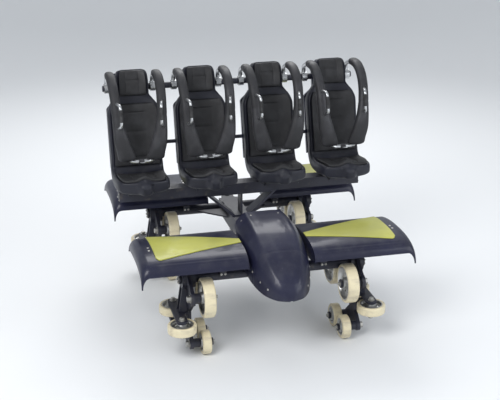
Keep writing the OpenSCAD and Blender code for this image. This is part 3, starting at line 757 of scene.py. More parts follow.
    def screws_on(
        self,
        sheet: Array,
        spots: Sequence[Tuple[int, int]],
        out: Vec,
        head: Tuple[float, float, float],
        sink: float,
    ) -> "Surface":
        """Adds screws square to a sheet.

        Args:
            sheet: its grid of points.
            spots: row and column of each screw.
            out: a direction that leaves the sheet at its middle.
            head: as for screw().
            sink: depth of the heads' feet under the sheet.

        Returns:
            The surface itself.
        """
        normals = grid_normals(sheet)
        middle = normals[len(sheet) // 2, sheet.shape[1] // 2]
        normals *= np.sign(middle @ np.asarray(out, float))
        for i, j in spots:
            self.screw(sheet[i, j] - normals[i, j] * sink, normals[i, j], head)
        return self

    def piece(
        self, name: str, body: str, replaces: Sequence[str] = (), pad: Optional[float] = None
    ) -> bpy.types.Object:
        """Makes the mesh and its object, and puts it on its body.

        Args:
            name: the piece's name.
            body: the CAD body that it rides on.
            replaces: CAD nodes that it stands for.
            pad: the fill of a padded piece; not used.

        Returns:
            The object.
        """
        verts, quads = np.concatenate(self.points), np.concatenate(self.quads)
        mesh = bpy.data.meshes.new(name)
        three = quads[:, 3] == quads[:, 2]
        totals = np.where(three, 3, 4)
        keep = np.ones(quads.shape, bool)
        keep[three, 3] = False
        starts = (np.cumsum(totals) - totals).astype(np.int32)
        mesh.vertices.add(len(verts))
        mesh.vertices.foreach_set("co", verts.astype(np.float32).ravel())
        mesh.loops.add(int(totals.sum()))
        mesh.loops.foreach_set("vertex_index", quads[keep].astype(np.int32))
        mesh.polygons.add(len(quads))
        mesh.polygons.foreach_set("loop_start", starts)
        mesh.polygons.foreach_set("material_index", np.concatenate(self.slots).astype(np.int32))
        mesh.update(calc_edges=True)
        work = bmesh.new()
        work.from_mesh(mesh)
        bmesh.ops.remove_doubles(work, verts=work.verts, dist=2e-6)
        bmesh.ops.recalc_face_normals(work, faces=work.faces)
        work.to_mesh(mesh)
        work.free()
        mesh.polygons.foreach_set("use_smooth", np.ones(len(mesh.polygons), bool))
        mesh.set_sharp_from_angle(angle=math.radians(34))
        for finish in self.finishes:
            mesh.materials.append(material_of(finish))
        made = add_object(name, mesh)
        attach(made, body)
        if replaces:
            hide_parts(*replaces)
        LOG.info("%s: %d faces on %s", name, len(mesh.polygons), body)
        return made


# Sizes shared by the pieces


@dataclass(frozen=True)
class Layout:
    """Places that several sub-assemblies share, as in the part's source."""

    front: float = 0.669
    rear: float = -0.891
    rail_y: float = 0.600
    axle_z: float = 0.639
    road_z: float = 0.537
    rail_z: float = 0.288
    upstop_z: float = 0.100
    plate_y: float = 0.704
    plate_t: float = 0.030
    arm_in: float = 0.430
    beam_x: float = -0.471
    seats: Tuple[float, ...] = (0.918, 0.312, -0.312, -0.918)
    seat_x: float = -0.561
    seat_z: float = 1.180
    seat_depth: float = 0.112
    recline: float = math.radians(14)
    back_h: float = 0.900
    shoulder: float = 0.236
    head: float = 0.146
    post_y: float = 0.104
    post_top: float = 1.059
    pivot_back: float = 0.152
    pivot_up: float = 0.740
    rest_swing: float = math.radians(12)

    def back(self, up: Union[float, Array], off: Union[float, Array]) -> Tuple[Array, Array]:
        """Places beside the backrest.

        Args:
            up: distance along the backrest from its foot.
            off: distance behind its front surface.

        Returns:
            x and z.
        """
        s, c = math.sin(self.recline), math.cos(self.recline)
        return self.seat_x - up * s - off * c, self.seat_z + up * c - off * s

    def on_restraint(self, points: Array, y: float) -> Array:
        """Puts points that are measured from a restraint's pivot, fully closed, in the frame.

        They turn about Y by the swing at rest and move to the pivot.

        Args:
            points: the points.
            y: the seat's middle.

        Returns:
            The points in the frame.
        """
        p = np.asarray(points, float)
        s, c = math.sin(self.rest_swing), math.cos(self.rest_swing)
        x, z = self.back(self.pivot_up, self.pivot_back)
        turned_x, turned_z = p[..., 0] * c - p[..., 2] * s, p[..., 0] * s + p[..., 2] * c
        return np.stack([turned_x + x, p[..., 1] + y, turned_z + z], -1)


PLACE = Layout()
SIDES = (("left", 1), ("right", -1))
AXLES = (("front", PLACE.front, "nose_unit"), ("rear", PLACE.rear, "seat_car"))
UP = (0, 0, 1)


# Wheels and carriers


@dataclass(frozen=True)
class WheelSize:
    """Sizes of one kind of wheel."""

    diameter: float
    width: float
    pin: float
    bolts: int
    upright: bool = False


class WheelKind(Enum):
    """The three kinds of wheel on a carrier."""

    ROAD = WheelSize(0.330, 0.096, 0.050, 8)
    GUIDE = WheelSize(0.240, 0.076, 0.040, 6, True)
    UPSTOP = WheelSize(0.200, 0.076, 0.040, 6)


@dataclass
class Wheels:
    """Every wheel: a cast tread on a turned hub with a bolted bearing ring."""

    tread: float = 0.026
    shoulder: float = 0.010
    hub_stand: float = 0.004
    web_share: float = 0.26
    bolt: float = 0.015

    def profile(self, size: WheelSize) -> Tuple[Array, Array]:
        """Sections, as radius and height along the axle.

        The tread's crown falls off as a square, and as a 2.2 power at its rounded
        shoulders. The hub's disc is recessed between a rim and a bearing boss.

        Args:
            size: the wheel's sizes.

        Returns:
            The tread's and the hub's closed profiles.
        """
        r, w = size.diameter / 2, size.width / 2
        edge, web, face = r - self.tread, self.web_share * w, w + self.hub_stand
        bore, boss = size.pin / 2 + 0.0006, size.pin / 2 + 0.024
        s = np.linspace(-1, 1, 21)
        crown = r - 0.0012 * s**2 - self.shoulder * ramp(np.abs(s), 0.72, 0.28) ** 2.2
        foot = np.array([[edge + 0.002, w - 0.001], [edge, w - 0.005]])
        half = np.array([
            [bore, face - 0.002], [bore + 0.002, face], [boss - 0.003, face], [boss, face - 0.003],
            [boss + 0.003, web + 0.004], [boss + 0.008, web], [edge - 0.022, web],
            [edge - 0.016, web + 0.004], [edge - 0.010, w - 0.004], [edge - 0.007, w - 0.001],
            [edge - 0.001, w - 0.002], [edge, w - 0.006]])
        tread, hub = (np.vstack([part, part[::-1] * [1, -1]]) for part in (foot, half))
        return np.vstack([np.stack([crown, s * w], -1), tread]), hub

    def build(self) -> None:
        """Makes each wheel in the place of its CAD node."""
        for kind in WheelKind:
            size = kind.value
            tread, hub = self.profile(size)
            axis = np.array(UP if size.upright else (0, 1, 0), float)
            pitch = (size.diameter / 2 - self.tread + size.pin / 2) / 2 + 0.002
            spots = pitch * round_axis(circle(size.bolts, 0.3), axis)
            web = self.web_share * size.width / 2
            places = [(a, side, end) for a, _, _ in AXLES for side, _ in SIDES for end in "ab"]
            for axle, side, end in places:
                node = f"{kind.name.lower()}_{axle}_{side}_{end}"
                low, high = (np.array(c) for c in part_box(node))
                centre = (low + high) / 2
                made = Surface()
                made.turned(tread, centre, axis, Finish.TREAD, 80)
                made.turned(hub, centre, axis, Finish.HUB, 64)
                for face in (-1, 1):
                    made.bolts(spots + centre + face * web * axis, face * axis, self.bolt)
                made.piece(f"{node}_wheel", node, [node])


@dataclass
class CarrierTrim:
    """Fasteners and weld beads of the four wheel carriers."""

    road_step: float = 0.400
    upstop_step: float = 0.240
    guide_step: float = 0.400
    guide_y: float = 0.808
    hub_r: float = 0.082
    shelf: float = 0.068
    pin_stand: float = 0.024
    cap_stand: float = 0.0602
    cap_ring: float = 0.034
    outer_nut: float = 0.052
    inner_nut: float = 0.030
    guide_nut: float = 0.042
    cap_bolt: float = 0.016

    def bead(self, made: Surface, centre: Vec, radius: float) -> None:
        """Adds a rippled weld bead: a small circle carried round a ring, its radius waving.

        Args:
            made: the surface to add it to.
            centre: the ring's middle, on an axis along Y.
            radius: the ring's radius.
        """
        a = np.linspace(0, 2 * math.pi, 97)
        ring = radius * round_axis(a, (0, 1, 0)) + np.asarray(centre, float)
        made.tube(ring, 0.0042 + 0.0006 * np.cos(a * 60), Finish.FRAME, 8)

    def build(self) -> None:
        """Dresses each carrier."""
        outer = PLACE.plate_y + PLACE.plate_t
        pins = ((self.road_step, PLACE.road_z, WheelKind.ROAD.value.width / 2),
                (self.upstop_step, PLACE.upstop_z, WheelKind.UPSTOP.value.width / 2))
        for axle, x, body in AXLES:
            for side, k in SIDES:
                made = Surface()
                spots = [(x + s * step / 2, k * outer, z) for step, z, _ in pins for s in (-1, 1)]
                made.bolts(spots, (0, k, 0), self.outer_nut)
                for step, z, half in pins:
                    y = k * (PLACE.rail_y - half - self.pin_stand)
                    spots = [(x + s * step / 2, y, z) for s in (-1, 1)]
                    made.bolts(spots, (0, -k, 0), self.inner_nut)
                for s in (-1, 1):
                    for up in (1, -1):
                        at = (x + s * self.guide_step / 2, k * self.guide_y,
                              PLACE.rail_z + up * self.shelf)
                        made.bolts([at], (0, 0, up), self.guide_nut)
                for y in (outer, PLACE.plate_y):
                    self.bead(made, (x, k * y, PLACE.axle_z), self.hub_r)
                carrier = "nose_unit" if axle == "front" else f"carrier_{axle}_{side}"
                made.piece(f"carrier_{axle}_{side}_fasteners", carrier)
                middle = np.array([x, k * (outer + self.cap_stand), PLACE.axle_z])
                spots = side_ring(circle(6, 0.5), self.cap_ring) + middle
                cap = Surface().bolts(spots, (0, k, 0), self.cap_bolt)
                cap.piece(f"axle_cap_{axle}_{side}_bolts", body)


# Bodywork


@dataclass
class Fenders:
    """Wing-like fibreglass fenders over the wheels and their lime bands.

    Columns of web_edge and profile: x from the axle, z from the crown. Columns of band:
    share of the way out, and x of its rear and front edge.
    """

    inner: float = 0.274
    outer: float = 1.144
    crown: float = 0.920
    skin: float = 0.012
    edge_r: float = 0.076
    edge_drop: float = 0.096
    channels: Tuple[float, float] = (0.254, 0.278)
    channel_deep: float = 0.0022
    band_out: float = 1.004
    rear_band_in: float = 0.640
    band_t: float = 0.007
    band_edge: float = 0.003
    band_lift: float = 0.0008
    arm_w: float = 0.060
    rib_h: float = 0.030
    web_from: float = 0.0005
    web_t: float = 0.008
    head: Tuple[float, float, float] = (0.010, 0.005, 0.0035)
    web_edge: Rows = ((-0.368, -0.064), (-0.250, -0.145), (0.230, -0.150), (0.316, -0.121))
    profile: Rows = (
        (-0.368, -0.058), (-0.356, -0.042), (-0.312, -0.029), (-0.248, -0.017), (-0.174, -0.008),
        (-0.092, -0.003), (0.0, 0.0), (0.074, -0.001), (0.138, -0.006), (0.194, -0.015),
        (0.240, -0.028), (0.275, -0.046), (0.298, -0.068), (0.311, -0.094), (0.316, -0.118))
    band: Rows = (
        (0, -0.044, 0.034), (0.5, -0.194, 0.126), (0.86, -0.302, 0.196), (0.97, -0.335, 0.214),
        (1, -0.344, 0.176))

    def curve(self, count: int = 85) -> Array:
        """The profile's points, smoothed."""
        return smooth_rows(self.profile, count)

    def sheet(self, axle_x: float, k: int, depth: float) -> Array:
        """The fender's surface at a depth under its skin.

        The profile is carried across the car. Towards the outer edge the angle a grows from
        0 to 90 degrees: y moves out by the edge radius times sin a, and z falls by the edge
        drop times 1 - cos a. The depth goes along the profile's normal times cos a, and
        inwards by sin a. Two shallow pressed channels run across, fading before the ends.

        Args:
            axle_x: the axle's place.
            k: 1 on the left and -1 on the right.
            depth: distance under the skin.

        Returns:
            A grid of points.
        """
        p = self.curve()
        d = unit(np.gradient(p, axis=0))
        bend = self.outer - self.edge_r
        flat = np.linspace(self.inner, bend, 30)
        turn = np.linspace(0, math.pi / 2, 17)[1:]
        a = np.concatenate([0 * flat, turn])
        y = np.concatenate([flat, bend + self.edge_r * np.sin(turn)])
        fade = ramp(y, self.inner + 0.03, 0.05) * ramp(self.outer - 0.10 - y, 0, 0.05)
        channel = sum(bell(p[:, :1], at, 0.007) for at in self.channels)
        depth_at = depth + self.channel_deep * channel * fade * (depth == 0)
        x = p[:, :1] + d[:, 1:] * depth_at * np.cos(a) + axle_x
        fall = d[:, :1] * depth_at * np.cos(a) + self.edge_drop * (1 - np.cos(a))
        yy = np.broadcast_to(y - depth * np.sin(a), x.shape) * k
        return np.stack([x, yy, self.crown + p[:, 1:] - fall], -1)

    def web(self, axle_x: float, k: int, inset: float) -> Array:
        """One face of the wall that closes the fender's inner end.

        Its upper edge lies in the skin, and its lower edge is level over the axle and rises
        to the skin at both ends.

        Args:
            axle_x: the axle's place.
            k: the side.
            inset: distance out from the fender's inner edge.

        Returns:
            A grid of points.
        """
        p = self.curve()
        high = p[:, 1] - self.skin / 2
        low = np.minimum(np.interp(p[:, 0], *np.array(self.web_edge).T), high - 0.002)
        z = self.crown + high[:, None] + (low - high)[:, None] * np.linspace(0, 1, 4)
        x = np.broadcast_to(axle_x + p[:, :1], z.shape)
        return np.stack([x, np.full(z.shape, k * (self.inner + inset)), z], -1)

    def band_grid(self, axle_x: float, k: int, share: float, rise: float, inset: float) -> Array:
        """The band's surface: between its two edges, lifted off the fender's profile.

        Args:
            axle_x: the axle's place.
            k: the side.
            share: where the band starts, as a share of the way out.
            rise: height over the band's lower face.
            inset: distance that the outline is drawn in.

        Returns:
            A grid of points.
        """
        span = self.band_out - self.inner
        at, rear, front = np.array(self.band).T
        u = np.linspace(share + inset / span, 1 - inset / span, 44)
        low, high = np.interp(u, at, rear) + inset, np.interp(u, at, front) - inset
        x = low + (high - low) * np.linspace(0, 1, 26)[:, None]
        y = np.broadcast_to(self.inner + span * u, x.shape)
        z = self.crown + np.interp(x, *self.curve(400).T) + self.band_lift + rise
        return np.stack([x + axle_x, k * y, z], -1)

    def build(self) -> None:
        """Makes the fenders and bands of both axles."""
        reach = self.outer - self.edge_r - PLACE.arm_in
        rib_y, rib_z = PLACE.arm_in + reach / 2 - 0.015, self.crown - self.skin * 0.55 - self.rib_h
        screw_y = np.linspace(PLACE.arm_in + 0.02, self.outer - 0.11, 5)
        rear_share = (self.rear_band_in - self.inner) / (self.band_out - self.inner)
        for axle, x, body in AXLES:
            share = 0.0 if axle == "front" else rear_share
            made, bands = Surface(), Surface()
            for _, k in SIDES:
                made.wall(self.sheet(x, k, 0), self.sheet(x, k, self.skin), Finish.NAVY)
                faces = (self.web(x, k, self.web_from + t) for t in (0, self.web_t))
                made.wall(*faces, Finish.NAVY)
                half = (self.arm_w / 2, reach / 2)
                made.plate(half, (x, k * rib_y, rib_z), UP, self.rib_h, Finish.NAVY)
                screws = np.array([
                    (x + dx, k * y, self.crown + np.interp(dx, *np.array(self.profile).T) + 0.0002)
                    for dx in (-0.03, 0.03) for y in screw_y])
                made.screw((0, 0, 0), UP, self.head, screws)
                top, mid, foot = (self.band_grid(x, k, share, *place) for place in (
                    (self.band_t, self.band_edge), (self.band_t - self.band_edge, 0), (0, 0)))
                for face in (top, foot):
                    bands.grid(face, Finish.LIME, around=False, caps=False)
                bands.grid(np.stack([rim(top), rim(mid), rim(foot)]), Finish.LIME, caps=False)
            made.piece(f"{axle}_fender_shells", body, [f"{axle}_fenders"])
            bands.piece(f"{axle}_fender_bands", body, [f"{axle}_bands"])


@dataclass
class Hood:
    """The nose hood: a crowned shell with a ridge on each shoulder.

    Columns of rows: share of the reach forwards, half width, and depth of the lower edge
    and of the crown under the top.
    """

    skin: float = 0.012
    reach: float = 0.590
    top: float = 1.044
    joints: Tuple[float, float] = (-0.264, 0.286)
    joint_half: float = 0.0035
    groove: float = 0.003
    half: float = 0.264
    count: int = 150
    bulkhead: float = 0.012
    head: Tuple[float, float, float] = (0.009, 0.004, 0.003)
    rows: Rows = (
        (-0.6, 0.248, 0.226, 0.006), (-0.26, 0.262, 0.268, 0), (0.07, 0.264, 0.326, 0.024),
        (0.36, 0.252, 0.376, 0.080), (0.6, 0.222, 0.408, 0.152), (0.77, 0.182, 0.426, 0.220),
        (0.885, 0.138, 0.432, 0.278), (0.94, 0.104, 0.435, 0.320), (0.975, 0.064, 0.436, 0.362),
        (1, 0.022, 0.436, 0.420))

    def sheet(self, depth: float) -> Array:
        """The hood's surface.

        Each section is an arch: y is the half width times the 0.8 power of sin a, and z rises
        from the lower edge to the crown with the 0.62 power of cos a. A ridge stands at 34
        degrees on each shoulder, and the top dips a little between them. Grooves mark the
        joints between the mouldings.

        Args:
            depth: distance under the skin.

        Returns:
            A grid of points.
        """
        scale, start = (self.reach, 1, -1, -1), (0, 0, self.top, self.top)
        x, half, low, high = np.split(smooth_rows(self.rows, self.count) * scale + start, 4, axis=1)
        deg = np.linspace(-90, 90, 121)
        a = np.radians(deg)
        rise = np.maximum(np.cos(a), 0) ** 0.62
        ridge = 0.014 * bell(np.abs(deg), 34, 9) - 0.008 * bell(deg, 0, 16)
        joints = sum(bell(x, at, self.joint_half) for at in self.joints)
        seam = bell(np.abs(deg), 70, 0.7) * (x < self.joints[1])
        t = depth + self.groove * np.maximum(joints, seam) * (depth == 0)
        y = spow(np.sin(a), 0.8) * np.maximum(half - t, 0.004)
        z = low + (high - low - t + ridge * (half / self.half) ** 2) * rise
        return np.stack([np.broadcast_to(x, y.shape) + PLACE.front, y, z], -1)

    def build(self) -> None:
        """Makes the hood, its two bulkheads and its screws."""
        outer, inner = self.sheet(0), self.sheet(self.skin)
        made = Surface().wall(outer, inner, Finish.NAVY)
        for row, floor in ((1, -math.inf), (3, PLACE.axle_z + 0.035)):
            ring = inner[round(row * (self.count - 1) / (len(self.rows) - 1))]
            ring = np.maximum(ring, (-math.inf, -math.inf, floor))
            made.grid(np.stack([ring, ring + [self.bulkhead, 0, 0]]), Finish.FRAME)
        made.piece("nose_hood_shell", "nose_unit", ["nose_hood"])
        spots = [(i, j) for i in range(8, 89, 16) for j in (7, 113)]
        spots += [(7, j) for j in (28, 45, 75, 92)]
        screws = Surface().screws_on(outer, spots, UP, self.head, 0.0003)
        screws.piece("nose_hood_screws", "nose_unit")


# Seats


@dataclass(frozen=True)
class Pad:
    """A foam pad: its place on the seat and its moulded channels.

    It runs from the first to the last share of the seat's sections, over a share of their
    width. Two channels run along it at a share across, and others across between them.
    """

    name: str
    first: float
    last: float
    width: float
    puff: float
    rings: int
    deep: float
    along_at: float
    along_half: float
    across_at: Tuple[float, ...] = ()
    across_half: float = 0.011

    def channels(self, s: Array, c: Array) -> Array:
        """The channels' depth at a share along and a share across."""
        across = sum(bell(s, at, self.across_half) for at in self.across_at)
        return self.deep * (bell(c, self.along_at, self.along_half) + (c < self.along_at) * across)


@dataclass
class Seats:
    """Four moulded seats: a shell and three foam pads on each.

    Columns of pan: x, z, half width, thickness, bolster, saddle.
    """

    corner: float = 0.075
    foot: Tuple[float, float] = (0.130, 0.020)
    foot_x: float = 0.030
    foot_h: float = 0.060
    pan: Rows = (
        (0.505, 0.002, 0.030, 0.050, 0, 0), (0.492, 0.028, 0.046, 0.100, 0, 0.004),
        (0.455, 0.040, 0.072, 0.116, 0, 0.012), (0.428, 0.040, 0.150, 0.118, 0.004, 0.024),
        (0.392, 0.038, 0.214, 0.122, 0.016, 0.034), (0.320, 0.030, 0.232, 0.122, 0.032, 0.036),
        (0.230, 0.014, 0.236, 0.118, 0.038, 0.016), (0.140, 0.002, 0.236, 0.112, 0.040, 0))
    pads: Tuple[Pad, ...] = (
        Pad("seat_pad", 0.155, 0.345, 0.86, 0.006, 84, 0.006, 0.50, 0.022),
        Pad("back_pad", 0.53, 0.735, 0.86, 0.007, 110, 0.006, 0.46, 0.025, (0.30, 0.55, 0.78)),
        Pad("head_pad", 0.80, 0.955, 0.80, 0.006, 64, 0.005, 0.52, 0.03, (0.5,), 0.03))

    def rows(self) -> Array:
        """The seat's sections, from the saddle's tip round the corner to the headrest.

        Returns:
            Columns x, z, facing angle, half width, thickness, bolster, saddle.
        """
        r, lean = self.corner, PLACE.recline
        s, h, d = PLACE.shoulder, PLACE.head, PLACE.seat_depth
        pan = [(*p[:2], math.pi / 2, *p[2:]) for p in self.pan]
        bend = [(r * (1 - math.cos(f)), r * (1 - math.sin(f)), f, s - 0.002, d, 0.044, 0)
                for f in np.linspace(math.pi / 2, lean, 5)]
        # Share of the backrest's height, half width, thickness, bolster
        spine = (
            (0.14, s - 0.006, d, 0.052), (0.36, s - 0.002, d, 0.062), (0.56, s, d, 0.066),
            (0.655, s - 0.024, d, 0.052), (0.715, (s + h) / 2 - 0.018, d, 0.034),
            (0.765, h, d, 0.056), (0.86, h, d, 0.078), (0.95, h - 0.006, d - 0.006, 0.060),
            (0.99, h - 0.026, d - 0.024, 0.020), (1.0, h - 0.060, d - 0.060, 0))
        x, z = bend[-1][:2]
        back = []
        for share, *rest in spine:
            up = share * PLACE.back_h - z
            back.append((x - up * math.sin(lean), z + up * math.cos(lean), lean, *rest, 0))
        return smooth_rows(pan + bend + back, 221)

    def point(self, rows: Array, across: Array, off: Array, y: float) -> Array:
        """Points of the seat: the section's place plus a distance along its facing angle.

        Args:
            rows: sections, as from rows().
            across: share of the half width, one row of values or one for each section.
            off: distance in front of the seat's plain surface.
            y: the seat's middle.

        Returns:
            A grid of points.
        """
        x = rows[:, :1] + off * np.cos(rows[:, 2:3])
        z = rows[:, 1:2] + off * np.sin(rows[:, 2:3])
        yy = np.broadcast_to(rows[:, 3:4] * across + y, x.shape)
        return np.stack([x + PLACE.seat_x, yy, z + PLACE.seat_z], -1)

    def crown(self, rows: Array, across: Array) -> Array:
        """Height over the plain face: the bolster by the cube, the saddle by a bell."""
        saddle = rows[:, 6:7] * bell(rows[:, 3:4] * across, 0, 0.052)
        return rows[:, 5:6] * np.abs(across) ** 3 + saddle

    def shell(self, y: float) -> Array:
        """The moulded shell: rounded sections whose front is sunk where the pads lie.

        Args:
            y: the seat's middle.

        Returns:
            A grid of rings.
        """
        rows, a = self.rows(), circle(72)
        c, t = spow(np.cos(a), 0.62)[None], spow(np.sin(a), 0.5)
        sink = 0.012 * np.clip(t, 0, 1) * ramp(0.92 - np.abs(c), 0, 0.06)
        off = rows[:, 4:5] * (t - 1) / 2 + np.maximum(t, 0) * self.crown(rows, c) - sink
        return self.point(rows, c, off, y)

    def pad(self, pad: Pad, y: float) -> Array:
        """A foam pad on the seat's surface.

        The pad is a closed loft of flat rounded sections. Its half thickness and width shrink
        near both ends by the eighth-power oval, its top is crowned by the puff, and channels
        sink into the top.

        Args:
            pad: its sizes.
            y: the seat's middle.

        Returns:
            A grid of rings.
        """
        table = self.rows()
        s = (1 - np.cos(np.linspace(0, math.pi, pad.rings))) / 2
        place = (pad.first + (pad.last - pad.first) * s) * (len(table) - 1)
        i = np.minimum(place.astype(int), len(table) - 2)
        f = (place - i)[:, None]
        rows = table[i] * (1 - f) + table[i + 1] * f
        end = np.maximum(1 - np.abs(2 * s - 1) ** 8, 0)[:, None] ** 0.5
        a = circle(80)
        share = spow(np.cos(a), 0.72) * (0.90 + 0.10 * end)
        lift = spow(np.sin(a), 0.42) * np.ones_like(end)
        plump = pad.puff * (1 - share**2) * np.maximum(lift, 0) * end
        cut = pad.channels(s[:, None], np.abs(share)) * np.clip(lift, 0, 1) * end
        across = pad.width * share
        off = self.crown(rows, across) - 0.008 + (0.008 + 0.009 * end) * lift * end + plump - cut
        return self.point(rows, across, off, y)

    def build(self) -> None:
        """Makes the four seats."""
        for number, y in enumerate(PLACE.seats, 1):
            shell = Surface().grid(self.shell(y), Finish.SHELL)
            for k in (-1, 1):
                foot = (PLACE.beam_x + self.foot_x, y + k * PLACE.post_y, PLACE.post_top)
                shell.plate(self.foot, foot, UP, self.foot_h, Finish.SHELL)
            shell.piece(f"seat_{number}_shell", "seat_car", [f"seat_{number}"])
            for pad in self.pads:
                foam = Surface().grid(self.pad(pad, y), Finish.FOAM)
                foam.piece(f"seat_{number}_{pad.name}", "seat_car", pad=0.9)


@dataclass
class BackCovers:
    """Moulded covers behind the backrests, with two long ribs and a sunk panel."""

    wall: float = 0.008
    deep: float = 0.096
    bulge: float = 0.016
    rib_half: float = 0.146
    rib_t: float = 0.008
    head: Tuple[float, float, float] = (0.010, 0.004, 0.004)
    count: int = 73

    def sheet(self, y: float, depth: float) -> Array:
        """The cover's surface: an arch round the uprights, narrower behind the headrest.

        Args:
            y: the seat's middle.
            depth: distance under the skin.

        Returns:
            A grid of points.
        """
        u = np.linspace(0, 1, self.count)[:, None]
        neck = ramp(u, 0.62, 0.12)
        narrower = (PLACE.shoulder - PLACE.head - 0.002) * neck * neck * (3 - 2 * neck)
        half = PLACE.shoulder - 0.010 - narrower
        deg = np.linspace(-90, 90, self.count)
        a = np.radians(deg)
        rise = np.maximum(np.cos(a), 0) ** 0.55
        rib = 0.005 * bell(np.abs(deg), 38, 3.5) * ramp(u, 0.05, 0.05) * ramp(0.93 - u, 0, 0.05)
        panel = 0.004 * ramp(30 - np.abs(deg), 0, 2) * ramp(u, 0.16, 0.02)
        relief = (rib - panel * ramp(0.52 - u, 0, 0.02)) * (depth == 0)
        out = (self.deep + self.bulge * np.sin(math.pi * u) - depth) * rise
        off = PLACE.seat_depth + 0.006 + out + relief
        x, z = PLACE.back(0.030 + u * (PLACE.back_h - 0.060), off)
        return np.stack([x, y + spow(np.sin(a), 0.7) * (half - depth), z], -1)

    def build(self) -> None:
        """Makes the covers and the ribs that hold them."""
        along = np.array([-math.sin(PLACE.recline), 0, math.cos(PLACE.recline)])
        half = (self.deep - 0.010) / 2
        spots = [(i, j) for i, across in ((4, (18, 54)), (40, (16, 56)), (69, (25, 47)))
                 for j in across]
        for number, y in enumerate(PLACE.seats, 1):
            outer = self.sheet(y, 0)
            made = Surface().wall(outer, self.sheet(y, self.wall), Finish.NAVY)
            for up in (0.150, 0.500):
                x, z = PLACE.back(up, PLACE.seat_depth + 0.013 + half)
                foot = np.array([x, y, z]) - self.rib_t / 2 * unit(along)
                size = (half, self.rib_half)
                made.plate(size, foot, along, self.rib_t, Finish.FRAME, 0.001)
            made.screws_on(outer, spots, (-1, 0, 0), self.head, 0.0004)
            made.piece(f"seat_{number}_back_cover", "seat_car", ["seat_backs"])


# Restraints


